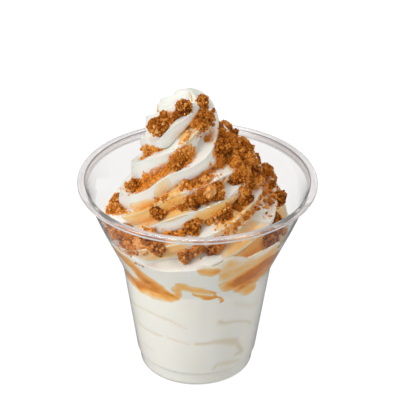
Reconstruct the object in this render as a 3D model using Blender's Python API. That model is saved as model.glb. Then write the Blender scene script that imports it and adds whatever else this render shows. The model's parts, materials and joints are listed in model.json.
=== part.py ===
"""Biscuit sundae: soft-serve ice cream swirled into a clear plastic cup, with caramel sauce
against the wall and broken biscuit in the folds of the swirl.

Metres, +Z up. The origin is the middle of the cup's flat base, and the front is at -Y.
Angles go counter-clockwise from +X, seen from above, in degrees.
"""

import math
import random

import bmesh
import bpy
from mathutils import Euler, Vector, noise

MM = 0.001

# ---------------------------------------------------------------- the cup
RIM_RADIUS = 47.5 * MM
CUP_HEIGHT = 85.6 * MM
WALL = 0.85 * MM
FLOOR = 1.2 * MM
CUP_SEGMENTS = 48
BASE_RADIUS = 22.4 * MM
FOOT_RADIUS = 23.9 * MM
FOOT_HEIGHT = 6.2 * MM
STEP_RADIUS = 24.75 * MM
STEP_HEIGHT = 7.0 * MM
CORNER_RADIUS = 30.3 * MM
CORNER_HEIGHT = 47.5 * MM
NECK_RADIUS = 44.3 * MM
NECK_HEIGHT = 82.6 * MM
FLARE_BOW = 0.75 * MM
FLARE_STEPS = 4

# ---------------------------------------------------------------- the soft serve
GAP = 0.3 * MM
WALL_GAP = 0.4 * MM
# The nozzle leaves STARTS ridges, which climb as a screw with that many threads. With SAMPLES
# rings for each ridge and as many sides between two ridges, every ridge runs along edges.
STARTS = 6
SAMPLES = 7
SWIRL_SEGMENTS = STARTS * SAMPLES
LOWEST_TURN = -2
HIGHEST_TURN = 5.43
# "Turn" counts the ridges up the front of the swirl. They pass these heights in millimetres.
RIDGE_HEIGHTS = [
    (-2.5, 57.0), (-1.5, 66.0), (-0.5, 76.0), (0.5, 85.5), (1.5, 92.7),
    (2.5, 99.7), (3.5, 106.9), (4.5, 116.5), (5.5, 124.0),
]  # fmt: skip
TIP = Vector((-4.1, 0.0, 124.0)) * MM
# All in millimetres from here: height, and the radius of the ridges there.
SWIRL_RADII = [
    (57.0, 41.5), (66.0, 38.0), (78.0, 31.5), (85.5, 27.6), (94.0, 23.2), (100.0, 19.8),
    (107.0, 15.6), (113.0, 13.2), (116.0, 11.3), (119.0, 8.7), (121.5, 5.5), (124.0, 0.6),
]  # fmt: skip
# Height, and how far the swirl leans along X there.
SWIRL_LEAN = [
    (57.0, 0.0), (70.0, 0.0), (78.0, 1.0), (94.0, -1.6), (100.0, -3.4), (107.0, -6.2),
    (113.0, -6.1), (116.0, -5.0), (119.0, -4.3), (124.0, -4.1),
]  # fmt: skip
# One ridge in section, from its lip down to the next lip: the share of the way down, then how
# far the surface stands out and up from the line through the lips, for ridges 8.5 mm apart.
RIDGE_SECTION = [
    (0.0, 0.0, 0.8), (0.12, -0.15, 0.4), (0.27, -0.6, 0.0), (0.42, -1.5, -0.2),
    (0.55, -3.0, -0.35), (0.66, -4.5, -0.3), (0.78, -3.4, -0.1), (0.9, -1.5, 0.4),
    (1.0, 0.0, 0.8),
]  # fmt: skip
RIDGE_SPACING = 8.5 * MM
# Where the ridges have slumped: the angle and its spread, the height and its reach, the drop.
SLUMPS = [
    (180.0, 80.0, 84.0, 22.0, 12.5), (218.0, 38.0, 92.0, 10.0, 3.0),
    (232.0, 32.0, 110.0, 7.0, 3.5), (328.0, 45.0, 98.0, 5.5, 2.5),
]  # fmt: skip
# Round this angle and height one fold is a smooth lobe with almost no ridge.
SMOOTH_LOBE = (200.0, 109.0 * MM)
SMOOTH_LOBE_SPREAD = (48.0, 9.0 * MM)
SMOOTHING = 0.85
RIDGES_START = 62.0 * MM
RIDGES_FULL = 70.0 * MM
DEEP_RIDGE_RADIUS = 15.0 * MM
WOBBLE = 0.7 * MM
WOBBLE_SIZE = 14.0 * MM

# ---------------------------------------------------------------- caramel against the wall
SAUCE_THICKNESS = 1.5 * MM
SAUCE_SIDES = 8
SAUCE_STEPS = 10
THIN_BELOW = 3.0 * MM
LEAST_HALF = 0.5 * MM
SAUCE_POINT = 0.8 * MM
# Angle, height of the middle and half height, in degrees and millimetres.
SAUCE_BANDS = {
    "caramel_left": [
        (-168, 50.5, 2.0), (-158, 51.0, 7.0), (-146, 54.5, 9.5), (-137, 54.0, 9.0),
        (-128, 51.5, 7.0), (-118, 49.8, 5.0), (-108, 47.8, 3.0), (-101, 46.5, 1.0),
    ],
    "caramel_middle": [
        (-104, 54.6, 1.0), (-97, 54.3, 2.0), (-89, 52.5, 2.6), (-81, 50.2, 2.8),
        (-74, 47.8, 1.8), (-68, 46.2, 0.6),
    ],
    "caramel_right": [
        (-76, 63.0, 1.0), (-70, 61.5, 4.0), (-62, 57.5, 7.6), (-52, 54.5, 9.5),
        (-43, 55.0, 9.0), (-34, 55.8, 6.0), (-26, 56.2, 4.0), (-19, 56.5, 1.0),
    ],
}  # fmt: skip

# ---------------------------------------------------------------- biscuit
# Each piece lies in the trough between two ridges: its angle (from 150 at the back left round
# the front to 510), how many ridges down from the top one (the fraction is its place in the
# trough) and its width in millimetres.
BISCUITS = [
    (225, -0.45, 9.6), (266, -0.40, 7.2), (332, 0.66, 7.2), (308, 0.82, 8.6),
    (256, 1.72, 6.6), (196, 1.72, 7.0), (328, 2.45, 7.6), (330, 2.90, 6.6),
    (322, 3.70, 8.0), (291, 3.58, 8.4), (267, 3.58, 7.8), (237, 3.42, 6.0),
    (172, 2.60, 7.4), (186, 3.60, 9.0), (338, 4.50, 8.2), (376, 4.42, 6.8),
    (317, 4.72, 8.0), (293, 4.68, 8.2), (265, 4.60, 8.0), (385, 5.60, 8.2),
    (384, 6.40, 8.0), (372, 6.60, 6.8), (350, 6.10, 6.4), (343, 6.60, 6.8),
    (228, 4.62, 7.2), (246, 5.05, 6.4), (281, 5.62, 6.6), (211, 4.45, 6.8),
    (322, 6.45, 7.0), (262, 5.45, 5.4), (420, 5.60, 7.6), (455, 6.60, 6.8),
    (500, 6.65, 7.4), (435, 4.60, 7.0), (480, 5.50, 6.4), (408, 6.60, 7.2),
]  # fmt: skip
BISCUIT_LIFT = 0.14
BISCUIT_CORNERS = 16
BISCUIT_SEED = 11
# The room that a piece needs beside the slanted wall, as a multiple of its radius.
WALL_SLANT = 1.1
SETTLING_TRIES = 60
GOLDEN_ANGLE = math.pi * (3 - math.sqrt(5))

# ---------------------------------------------------------------- crumbs fused to the ice cream
CRUMB_COUNT = 36
CRUMB_TRIES = 4000
CRUMB_SIZES = (2.0 * MM, 3.4 * MM)
CRUMB_SEED = 5
CRUMB_RIDGES = (0.55, 6.3)
CRUMB_PLACES = (0.62, 0.95)
CRUMB_LIFT = 0.2
BACK_ANGLE = 150.0
CRUMB_CORNERS = 9
CRUMBS_BELOW = 117.0 * MM


# ================================================================ small helpers
def clear_scene():
    for thing in list(bpy.data.objects):
        bpy.data.objects.remove(thing, do_unlink=True)


def between(points, x, column=1):
    """The value at x on straight lines through the rows of points."""
    if x <= points[0][0]:
        return points[0][column]
    for low, high in zip(points, points[1:]):
        if x <= high[0]:
            share = (x - low[0]) / (high[0] - low[0])
            return low[column] + share * (high[column] - low[column])
    return points[-1][column]


def curve_through(points, x, column=1):
    """The value at x on a smooth curve through the rows of points."""
    if x <= points[0][0] or x >= points[-1][0]:
        return between(points, x, column)
    row = next(i for i in range(len(points) - 1) if x <= points[i + 1][0])

    def slope(i):
        low, high = points[max(i - 1, 0)], points[min(i + 1, len(points) - 1)]
        return (high[column] - low[column]) / (high[0] - low[0])

    start, end = points[row], points[row + 1]
    step = end[0] - start[0]
    t = (x - start[0]) / step
    return (
        (2 * t**3 - 3 * t**2 + 1) * start[column]
        + (t**3 - 2 * t**2 + t) * step * slope(row)
        + (3 * t**2 - 2 * t**3) * end[column]
        + (t**3 - t**2) * step * slope(row + 1)
    )


def smoothstep(low, high, x):
    t = min(max((x - low) / (high - low), 0.0), 1.0)
    return t * t * (3 - 2 * t)


def hump(distance, reach):
    """1 in the middle, falling smoothly to 0 at reach."""
    if abs(distance) >= reach:
        return 0.0
    return math.cos(math.pi / 2 * distance / reach) ** 2


def angle_between(a, b):
    """The signed difference of two angles in degrees, the short way round."""
    return (a - b + 180.0) % 360.0 - 180.0


def make_material(name, colour, roughness, alpha=1.0):
    material = bpy.data.materials.new(name)
    material.use_nodes = True
    shader = material.node_tree.nodes["Principled BSDF"]
    shader.inputs["Base Color"].default_value = (*colour, 1.0)
    shader.inputs["Roughness"].default_value = roughness
    shader.inputs["Metallic"].default_value = 0.0
    shader.inputs["Alpha"].default_value = alpha
    return material


def add_object(name, mesh, material=None):
    thing = bpy.data.objects.new(name, mesh)
    bpy.context.scene.collection.objects.link(thing)
    if material:
        mesh.materials.append(material)
    return thing


def mesh_from_rings(name, rings, bottom, top):
    """A closed mesh from rings of points, each turning counter-clockwise, and a pole at each end.

    Each face between two rings is cut from a point to the next point of the ring above, which
    is the way that a ridge of the swirl climbs.
    """
    bm = bmesh.new()
    loops = [[bm.verts.new(point) for point in ring] for ring in rings]
    low, high = bm.verts.new(bottom), bm.verts.new(top)
    for lower, upper in zip(loops, loops[1:]):
        for i, corner in enumerate(lower):
            after = (i + 1) % len(lower)
            bm.faces.new((corner, lower[after], upper[after]))
            bm.faces.new((corner, upper[after], upper[i]))
    for i, corner in enumerate(loops[0]):
        bm.faces.new((low, loops[0][(i + 1) % len(loops[0])], corner))
    for i, corner in enumerate(loops[-1]):
        bm.faces.new((high, corner, loops[-1][(i + 1) % len(loops[-1])]))
    return finish_mesh(name, bm)


def finish_mesh(name, bm):
    bmesh.ops.triangulate(bm, faces=bm.faces[:])
    bmesh.ops.recalc_face_normals(bm, faces=bm.faces[:])
    mesh = bpy.data.meshes.new(name)
    bm.to_mesh(mesh)
    bm.free()
    mesh.shade_smooth()
    mesh.set_sharp_from_angle(angle=math.radians(35))
    return mesh


def combine(target, helpers, operation):
    """Applies one Boolean of all the helpers to the target, and removes the helpers."""
    group = bpy.data.collections.new("helpers")
    bpy.context.scene.collection.children.link(group)
    for helper in helpers:
        bpy.context.scene.collection.objects.unlink(helper)
        group.objects.link(helper)
        helper.hide_render = True
        helper.display_type = "WIRE"
    modifier = target.modifiers.new("combine", "BOOLEAN")
    modifier.operation = operation
    modifier.solver = "EXACT"
    modifier.operand_type = "COLLECTION"
    modifier.collection = group
    graph = bpy.context.evaluated_depsgraph_get()
    result = bpy.data.meshes.new_from_object(target.evaluated_get(graph))
    target.modifiers.clear()
    target.data = result
    for helper in helpers:
        bpy.data.objects.remove(helper, do_unlink=True)
    bpy.data.collections.remove(group)


# ================================================================ the cup
def flare_rings():
    """(height, outer radius) up the flare, which bows out by FLARE_BOW in its upper half."""
    rings = []
    for step in range(1, FLARE_STEPS + 1):
        share = step / FLARE_STEPS
        height = CORNER_HEIGHT + share * (NECK_HEIGHT - CORNER_HEIGHT)
        chord = CORNER_RADIUS + share * (NECK_RADIUS - CORNER_RADIUS)
        rings.append((height, chord + FLARE_BOW * math.sin(math.pi * share**1.6)))
    return rings


OUTER_WALL = [
    (FOOT_HEIGHT, FOOT_RADIUS),
    (STEP_HEIGHT, STEP_RADIUS),
    (CORNER_HEIGHT, CORNER_RADIUS),
    *flare_rings(),
]
FOOT_BOTTOM = [(0.0, BASE_RADIUS), (0.7 * MM, BASE_RADIUS + 0.9 * MM)]
INNER_FOOT = [(FLOOR, BASE_RADIUS - 1.4 * MM), (FLOOR + 1.0 * MM, FOOT_RADIUS - 1.3 * MM)]
INNER_WALL = [*INNER_FOOT, *((height, radius - WALL) for height, radius in OUTER_WALL)]


def inner_radius(height):
    return between(INNER_WALL, height)


def lip_section():
    """(height, radius) round the rim's bead, from under its outer edge to its inner edge."""
    top, out = CUP_HEIGHT, RIM_RADIUS
    return [
        (top - 2.7 * MM, out - 1.0 * MM),
        (top - 1.8 * MM, out),
        (top - 0.7 * MM, out),
        (top, out - 0.7 * MM),
        (top, out - 2.2 * MM),
        (top - 0.9 * MM, out - 3.3 * MM),
    ]


def ring(height, radius, segments, centre=(0.0, 0.0)):
    turn = 2 * math.pi / segments
    return [
        Vector(
            (
                centre[0] + radius * math.cos(i * turn),
                centre[1] + radius * math.sin(i * turn),
                height,
            )
        )
        for i in range(segments)
    ]


def make_cup(material):
    section = [*FOOT_BOTTOM, *OUTER_WALL, *lip_section(), *reversed(INNER_WALL)]
    rings = [ring(height, radius, CUP_SEGMENTS) for height, radius in section]
    mesh = mesh_from_rings("cup", rings, (0, 0, 0), (0, 0, FLOOR))
    return add_object("cup", mesh, material)


# ================================================================ the soft serve
def slump(angle, height):
    """How far in millimetres the ridges hang below their even screw line."""
    return sum(
        drop * hump(angle_between(angle, middle), spread) * hump(height - level, reach)
        for middle, spread, level, reach, drop in SLUMPS
    )


def swirl_point(angle, turn):
    """The point of the swirl's surface at this angle, on the ridge line numbered turn."""
    share = (STARTS * angle / 360.0 - turn) % 1.0
    line = curve_through(RIDGE_HEIGHTS, turn) * MM
    height = line - slump(angle, line / MM) * MM
    radius = curve_through(SWIRL_RADII, height / MM) * MM
    lean = curve_through(SWIRL_LEAN, height / MM) * MM

    above, below = (curve_through(RIDGE_HEIGHTS, turn + half) for half in (0.5, -0.5))
    spacing = (above - below) * MM
    depth = spacing / RIDGE_SPACING * MM
    depth *= smoothstep(RIDGES_START, RIDGES_FULL, height) * min(1.0, radius / DEEP_RIDGE_RADIUS)
    lobe = hump(angle_between(angle, SMOOTH_LOBE[0]), SMOOTH_LOBE_SPREAD[0])
    depth *= 1.0 - SMOOTHING * lobe * hump(height - SMOOTH_LOBE[1], SMOOTH_LOBE_SPREAD[1])
    radius += depth * between(RIDGE_SECTION, share, 1)
    height += depth * between(RIDGE_SECTION, share, 2)

    around = math.radians(angle)
    outward = Vector((math.cos(around), math.sin(around), 0.0))
    spot = outward * radius + Vector((lean, 0.0, height))
    spot += outward * WOBBLE * noise.noise(spot / WOBBLE_SIZE) * min(1.0, depth / MM)
    return inside_wall(spot)


def inside_wall(spot):
    """The same point, or the nearest one that stays WALL_GAP inside the cup's wall."""
    if spot.z > NECK_HEIGHT:
        return spot
    flat = Vector((spot.x, spot.y, 0.0))
    most = inner_radius(spot.z) - WALL_GAP
    if flat.length <= most:
        return spot
    flat *= most / flat.length
    return Vector((flat.x, flat.y, spot.z))


def make_soft_serve(material):
    body = [(FLOOR + WALL_GAP, INNER_FOOT[0][1] - WALL_GAP), *INNER_WALL[1:]]
    rings = []
    for height, radius in body:
        if height < RIDGE_HEIGHTS[0][1] * MM:
            inside = radius if not rings else radius - WALL_GAP
            rings.append(ring(height, inside, SWIRL_SEGMENTS))
    turn = LOWEST_TURN
    while turn <= HIGHEST_TURN:
        rings.append([swirl_point(i * 360 / SWIRL_SEGMENTS, turn) for i in range(SWIRL_SEGMENTS)])
        turn += 1 / SAMPLES
    mesh = mesh_from_rings("soft_serve", rings, (0, 0, FLOOR + WALL_GAP), TIP)
    return add_object("soft_serve", mesh, material)


# ================================================================ caramel against the wall
def sauce_band(name, rows, grow=0.0):
    """A long lens of sauce that lies on the inside of the cup's wall.

    With grow it is that much larger all round, as the hollow that it lies in.
    """
    rings = []
    first, last = rows[0][0], rows[-1][0]
    for step in range(SAUCE_STEPS + 1):
        angle = first + (last - first) * step / SAUCE_STEPS
        middle = curve_through(rows, angle, 1) * MM
        half = max(curve_through(rows, angle, 2) * MM, LEAST_HALF) + grow
        round_it = []
        for side in range(SAUCE_SIDES):
            turn = 2 * math.pi * side / SAUCE_SIDES
            height = middle + half * math.cos(turn)
            bulge = min(1.0, half / THIN_BELOW)
            inward = (SAUCE_THICKNESS / 2 + grow) * bulge * (1 - math.sin(turn))
            radius = inner_radius(height) - WALL_GAP + grow - inward
            around = math.radians(angle)
            round_it.append(Vector((radius * math.cos(around), radius * math.sin(around), height)))
        rings.append(round_it)
    ends = []
    for near, beyond in ((rings[0], -1), (rings[-1], 1)):
        middle = sum(near, Vector()) / len(near)
        away = Vector((-middle.y, middle.x, 0.0)).normalized() * beyond
        ends.append(middle + away * (SAUCE_POINT + grow))
    return mesh_from_rings(name, rings, ends[0], ends[1])


# ================================================================ biscuit
def biscuit_mesh(name, centre, width, seed, corners, grow=0.0):
    """A broken lump of biscuit: the hull of corners scattered round a squashed ball. No point is
    further from its centre than half its width and grow.
    """
    draw = random.Random(seed)
    squash = Vector((1.0, draw.uniform(0.82, 1.0), draw.uniform(0.74, 0.95)))
    turn = Euler([draw.uniform(0, 2 * math.pi) for _ in range(3)])
    bm = bmesh.new()
    for index in range(corners):
        level = 1 - 2 * (index + 0.5) / corners
        around = index * GOLDEN_ANGLE + draw.uniform(-0.5, 0.5)
        level = min(max(level + draw.uniform(-0.12, 0.12), -1.0), 1.0)
        flat = math.sqrt(1 - level * level)
        spot = Vector((flat * math.cos(around), flat * math.sin(around), level))
        spot = Vector(a * b for a, b in zip(spot, squash)) * draw.uniform(0.84, 1.0)
        spot.rotate(turn)
        bm.verts.new(centre + spot * (width / 2) + spot.normalized() * grow)
    hull = bmesh.ops.convex_hull(bm, input=bm.verts)
    inside = [thing for thing in hull["geom_interior"] if isinstance(thing, bmesh.types.BMVert)]
    bmesh.ops.delete(bm, geom=inside, context="VERTS")
    return finish_mesh(name, bm)


def swirl_normal(angle, turn):
    """Which way the swirl's surface faces, as a whole, at this angle and ridge line."""
    step, rise = 4.0, 0.5
    across = swirl_point(angle + step, turn + step * STARTS / 360) - swirl_point(
        angle - step, turn - step * STARTS / 360
    )
    up = swirl_point(angle, turn + rise) - swirl_point(angle, turn - rise)
    return across.cross(up).normalized()


def place_in_trough(angle, ridges_down, width, lift):
    """The centre of a piece that lies in a trough, and how far the cup's wall pushed it in."""
    turn = STARTS * angle / 360 - ridges_down
    spot = swirl_point(angle, turn)
    spot = spot + swirl_normal(angle, turn) * width * lift
    if spot.z > CUP_HEIGHT + width / 2:
        return spot, 0.0
    flat = Vector((spot.x, spot.y, 0.0))
    most = inner_radius(min(spot.z, NECK_HEIGHT)) - WALL_GAP - WALL_SLANT * width / 2
    inward = max(flat.length - most, 0.0)
    flat *= 1 - inward / flat.length
    return Vector((flat.x, flat.y, spot.z + inward)), inward


def settle(spot, width, others):
    """Moves a piece up and away until it is clear of the pieces that are already there."""
    for _ in range(SETTLING_TRIES):
        clash = None
        for other, other_width in others:
            need = (width + other_width) / 2 + GAP
            if (spot - other).length < need:
                clash = (other, need)
                break
        if clash is None:
            return spot
        other, need = clash
        away = (spot - other).normalized() + Vector((0, 0, 0.05))
        spot = other + away.normalized() * need * 1.002
    return None


def make_biscuits(material):
    """Makes an object of each large piece, and returns (centre, width, seed) of them all."""
    placed = []
    for index, (angle, ridges_down, width) in enumerate(BISCUITS):
        spot, _ = place_in_trough(angle, ridges_down, width * MM, BISCUIT_LIFT)
        spot = settle(spot, width * MM, [(centre, size) for centre, size, _ in placed])
        if spot is not None:
            placed.append((spot, width * MM, BISCUIT_SEED + index))
    for index, (centre, width, seed) in enumerate(placed):
        name = f"biscuit_{index + 1:02d}"
        add_object(name, biscuit_mesh(name, centre, width, seed, BISCUIT_CORNERS), material)
    return placed


def make_crumbs(placed):
    """Small crumbs that stick to the ice cream, clear of the large pieces and the wall."""
    draw = random.Random(CRUMB_SEED)
    crumbs, tries = [], 0
    while len(crumbs) < CRUMB_COUNT and tries < CRUMB_TRIES:
        tries += 1
        share = len(crumbs) / CRUMB_COUNT
        width = CRUMB_SIZES[1] + share * (CRUMB_SIZES[0] - CRUMB_SIZES[1])
        angle = draw.uniform(BACK_ANGLE, BACK_ANGLE + 360)
        ridges_down = int(draw.uniform(*CRUMB_RIDGES)) + draw.uniform(*CRUMB_PLACES)
        centre, inward = place_in_trough(angle, ridges_down, width, CRUMB_LIFT)
        clear = all((centre - other).length > (width + size) / 2 + 2 * GAP for other, size, _ in placed)
        apart = all((centre - other).length > (width + size) / 2 * 0.9 for other, size in crumbs)
        if clear and apart and not inward and centre.z < CRUMBS_BELOW:
            crumbs.append((centre, width))
    return [
        add_object(f"crumb_{i}", biscuit_mesh(f"crumb_{i}", centre, width, CRUMB_SEED + i, CRUMB_CORNERS))
        for i, (centre, width) in enumerate(crumbs)
    ]


# ================================================================ the whole sundae
def main():
    clear_scene()
    clear_plastic = make_material("clear_plastic", (0.86, 0.88, 0.88), 0.06, alpha=0.25)
    ice_cream = make_material("ice_cream", (0.86, 0.84, 0.78), 0.45)
    caramel = make_material("caramel", (0.62, 0.30, 0.08), 0.2)
    biscuit = make_material("biscuit", (0.38, 0.16, 0.045), 0.85)

    make_cup(clear_plastic)
    for name, rows in SAUCE_BANDS.items():
        add_object(name, sauce_band(name, rows), caramel)
    placed = make_biscuits(biscuit)

    soft_serve = make_soft_serve(ice_cream)
    combine(soft_serve, make_crumbs(placed), "UNION")
    hollows = [
        add_object(f"{name}_hollow", sauce_band(f"{name}_hollow", rows, grow=GAP))
        for name, rows in SAUCE_BANDS.items()
    ]
    for centre, width, seed in placed:
        name = f"hollow_{seed}"
        hollows.append(add_object(name, biscuit_mesh(name, centre, width, seed, BISCUIT_CORNERS, GAP)))
    combine(soft_serve, hollows, "DIFFERENCE")


main()
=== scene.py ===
# %% [markdown]
# # A biscuit sundae
# Soft-serve ice cream swirled into a clear plastic cup, with caramel sauce and broken biscuit.
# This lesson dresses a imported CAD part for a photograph. The CAD part fixes every size, so each
# piece here is a finer copy of a CAD solid, with the surface that the real food has.

# %% Load the frame
import json
import math
import random

import bmesh
import bpy
import numpy as np
from mathutils import Matrix, Vector, noise

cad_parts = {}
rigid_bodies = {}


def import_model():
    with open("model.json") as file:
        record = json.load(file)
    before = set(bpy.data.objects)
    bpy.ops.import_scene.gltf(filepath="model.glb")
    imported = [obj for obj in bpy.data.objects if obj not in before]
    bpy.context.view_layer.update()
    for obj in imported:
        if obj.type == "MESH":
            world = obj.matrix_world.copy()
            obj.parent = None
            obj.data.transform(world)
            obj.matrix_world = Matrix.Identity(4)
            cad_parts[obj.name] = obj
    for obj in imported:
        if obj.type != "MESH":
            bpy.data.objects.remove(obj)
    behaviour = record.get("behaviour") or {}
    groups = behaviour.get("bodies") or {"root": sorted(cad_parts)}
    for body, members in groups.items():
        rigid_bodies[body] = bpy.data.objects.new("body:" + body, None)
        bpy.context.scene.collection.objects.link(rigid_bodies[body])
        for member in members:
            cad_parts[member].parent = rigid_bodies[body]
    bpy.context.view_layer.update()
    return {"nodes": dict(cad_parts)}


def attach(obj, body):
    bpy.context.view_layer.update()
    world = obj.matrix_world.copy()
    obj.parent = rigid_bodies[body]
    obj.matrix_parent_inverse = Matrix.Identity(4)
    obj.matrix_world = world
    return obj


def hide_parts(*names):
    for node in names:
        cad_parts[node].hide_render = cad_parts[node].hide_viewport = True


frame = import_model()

MM = 0.001

# %% [markdown]
# ## Small tools for materials
# Food colours are easiest to read off as sRGB hex values, but a shader works with linear light,
# so one function turns them. Another adds a node with its settings and its links in one line,
# which keeps each material short enough to read like a recipe.


# %% Colours and nodes
def linear(hex_colour):
    """An sRGB hex value as the linear RGBA that a shader takes."""
    srgb = [int(hex_colour[i : i + 2], 16) / 255 for i in (1, 3, 5)]
    return (*(c / 12.92 if c <= 0.04045 else ((c + 0.055) / 1.055) ** 2.4 for c in srgb), 1.0)


def connect(node, inputs):
    """Sets a node's inputs, by name or number, to values, or links sockets or nodes to them."""
    for key, given in inputs.items():
        if isinstance(given, bpy.types.Node):
            given = next(socket for socket in given.outputs if socket.enabled)
        if isinstance(given, bpy.types.NodeSocket):
            node.id_data.links.new(given, node.inputs[key])
        else:
            node.inputs[key].default_value = given
    return node


def add(tree, kind, inputs=None, **settings):
    """Adds a node with its settings, then its inputs."""
    node = tree.nodes.new(kind)
    for key, value in settings.items():
        setattr(node, key, value)
    return connect(node, inputs or {})


def set_stops(ramp_node, stops):
    """Gives a colour ramp its stops, as (position, hex colour)."""
    elements = ramp_node.color_ramp.elements
    while len(elements) < len(stops):
        elements.new(1.0)
    for element, (position, colour) in zip(elements, stops):
        element.position, element.color = position, linear(colour)
    return ramp_node


def new_material(name):
    """An empty material, its tree, its Principled shader and its Object coordinates."""
    material = bpy.data.materials.new(name)
    material.use_nodes = True
    tree = material.node_tree
    place = tree.nodes.new("ShaderNodeTexCoord").outputs["Object"]
    return material, tree, tree.nodes["Principled BSDF"], place


def per_mm(size):
    """The Scale of a pattern on Object coordinates whose features are this many mm across."""
    return 1.0 / (size * MM)


def in_scene(name, data):
    thing = bpy.data.objects.new(name, data)
    bpy.context.scene.collection.objects.link(thing)
    return thing


# %% [markdown]
# ## Camera, table and light
# The photograph was taken from about 30 degrees above the table with a long lens, so the rim
# is a flat ellipse. The table is a white light table, because the picture has a plain white
# ground with no shadow. Plastic shows only by what it mirrors and bends: darker cards beside
# the cup, which the camera never sees, draw its edges.

# %% Camera
ELEVATION, CAMERA_ROLL = math.radians(30.46), math.radians(0.53)
CAMERA_DISTANCE, NEAREST = 600 * MM, 50 * MM
LOOK_AT = Vector((1.04, 0.0, 74.9)) * MM
FOCAL_PIXELS, PHOTO_PIXELS, SENSOR_MM = 1505.6, 400, 36.0

camera_data = bpy.data.cameras.new("camera")
camera_data.sensor_width = SENSOR_MM
camera_data.lens = FOCAL_PIXELS / PHOTO_PIXELS * SENSOR_MM
camera_data.clip_start = NEAREST
camera = in_scene("camera", camera_data)
forward = Vector((0.0, math.cos(ELEVATION), -math.sin(ELEVATION)))
level = Vector((1.0, 0.0, 0.0))
upward = level.cross(forward)
across = level * math.cos(CAMERA_ROLL) + upward * math.sin(CAMERA_ROLL)
upward = upward * math.cos(CAMERA_ROLL) - level * math.sin(CAMERA_ROLL)
axes = Matrix((across, upward, -forward)).transposed()
camera.matrix_world = Matrix.Translation(LOOK_AT - forward * CAMERA_DISTANCE) @ axes.to_4x4()
bpy.context.scene.camera = camera
bpy.context.scene.view_settings.view_transform = "Standard"
print("lens, mm:", round(camera_data.lens, 1))

# %% The white table
TABLE_SIDE = 6.0
# What the table sends to the camera and through the plastic, what it lights the food with, and
# what shows of it in glossy surfaces.
TABLE_SEEN, TABLE_LIGHT, TABLE_MIRRORED = 1.0, 0.48, 0.18
bm = bmesh.new()
bmesh.ops.create_grid(bm, x_segments=1, y_segments=1, size=TABLE_SIDE / 2)
table_mesh = bpy.data.meshes.new("table")
bm.to_mesh(table_mesh)
bm.free()
table = in_scene("table", table_mesh)
white_table, tree, shader, _ = new_material("opal_light_table")
ray = add(tree, "ShaderNodeLightPath").outputs
shown = add(tree, "ShaderNodeMix", {"Factor": ray["Glossy Depth"], "A": TABLE_SEEN, "B": TABLE_MIRRORED})
glow = add(tree, "ShaderNodeMix", {"Factor": ray["Diffuse Depth"], "A": shown, "B": TABLE_LIGHT})
connect(shader, {
    "Base Color": linear("#3A3A3A"), "Roughness": 0.9,
    "Emission Color": linear("#FFFFFF"), "Emission Strength": glow,
})
table_mesh.materials.append(white_table)

# %% Daylight dome with a dark card at each side
# The same three strengths of the dome, and how much of them is left where a card hangs.
SKY_LIGHT, SKY_SEEN, SKY_MIRRORED, CARD = 0.46, 1.05, 0.35, 0.6
CARD_FROM, CARD_TO = 0.8, 0.9
# A long strip light above the camera, which only shows as the highlight along the rim.
STRIP_AT, STRIP_HALF, STRIP_GLARE, STRIP_FROM, STRIP_TO = 0.86, 0.1, 24.0, -0.3, -0.1
world = bpy.data.worlds.new("white_studio")
bpy.context.scene.world = world
world.use_nodes = True
tree = world.node_tree
direction = add(tree, "ShaderNodeTexCoord").outputs["Generated"]
parts = add(tree, "ShaderNodeSeparateXYZ", {0: direction}).outputs
sideways = add(tree, "ShaderNodeMath", {0: parts["X"]}, operation="ABSOLUTE")
card = add(tree, "ShaderNodeMapRange", {
    "Value": sideways, "From Min": CARD_FROM, "From Max": CARD_TO, "To Min": 1.0, "To Max": CARD,
}, interpolation_type="SMOOTHSTEP")
off_strip = add(tree, "ShaderNodeMath", {0: parts["Z"], 1: STRIP_AT}, operation="SUBTRACT")
off_strip = add(tree, "ShaderNodeMath", {0: off_strip}, operation="ABSOLUTE")
strip = add(tree, "ShaderNodeMapRange", {
    "Value": off_strip, "From Max": STRIP_HALF, "To Min": STRIP_GLARE, "To Max": 0.0,
}, interpolation_type="SMOOTHSTEP")
ahead = add(tree, "ShaderNodeMapRange", {
    "Value": parts["Y"], "From Min": STRIP_FROM, "From Max": STRIP_TO, "To Min": 1.0, "To Max": 0.0,
})
glossy = add(tree, "ShaderNodeMath", {0: strip, 1: ahead, 2: SKY_MIRRORED}, operation="MULTIPLY_ADD")
ray = add(tree, "ShaderNodeLightPath").outputs
shown = add(tree, "ShaderNodeMix", {"Factor": ray["Glossy Depth"], "A": 1.0, "B": glossy})
dimmed = add(tree, "ShaderNodeMath", {0: shown, 1: card}, operation="MULTIPLY")
light = add(tree, "ShaderNodeMix", {"Factor": ray["Diffuse Depth"], "A": dimmed, "B": SKY_LIGHT})
strength = add(tree, "ShaderNodeMix", {"Factor": ray["Is Camera Ray"], "A": light, "B": SKY_SEEN})
connect(tree.nodes["Background"], {"Strength": strength, "Color": linear("#FFFFFF")})

# %% Softboxes
# Each: name, place and size in metres, power in watts. All of them face the sundae's middle.
SOFTBOXES = [
    ("key_left", (-0.60, -0.40, 0.55), 0.30, 3.0),
    ("top", (0.05, 0.05, 0.80), 0.50, 1.1),
    ("front_right", (0.55, -0.55, 0.30), 0.30, 0.30),
]
for label, spot, side, power in SOFTBOXES:
    lamp_data = bpy.data.lights.new(label, "AREA")
    lamp_data.size, lamp_data.energy = side, power
    lamp = in_scene(label, lamp_data)
    lamp.location = spot
    lamp.rotation_euler = (LOOK_AT - Vector(spot)).to_track_quat("-Z", "Y").to_euler()
print(len(SOFTBOXES), "softboxes")

# %% [markdown]
# ## Grids that become meshes
# The cup, the ice cream and the sauce are all grids of points: rings going round, rows going
# up. A small function turns each grid into a mesh. Numbers stay in millimetres until a mesh is
# made, and every finished piece has its place in its mesh, as a CAD node's does.


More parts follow.
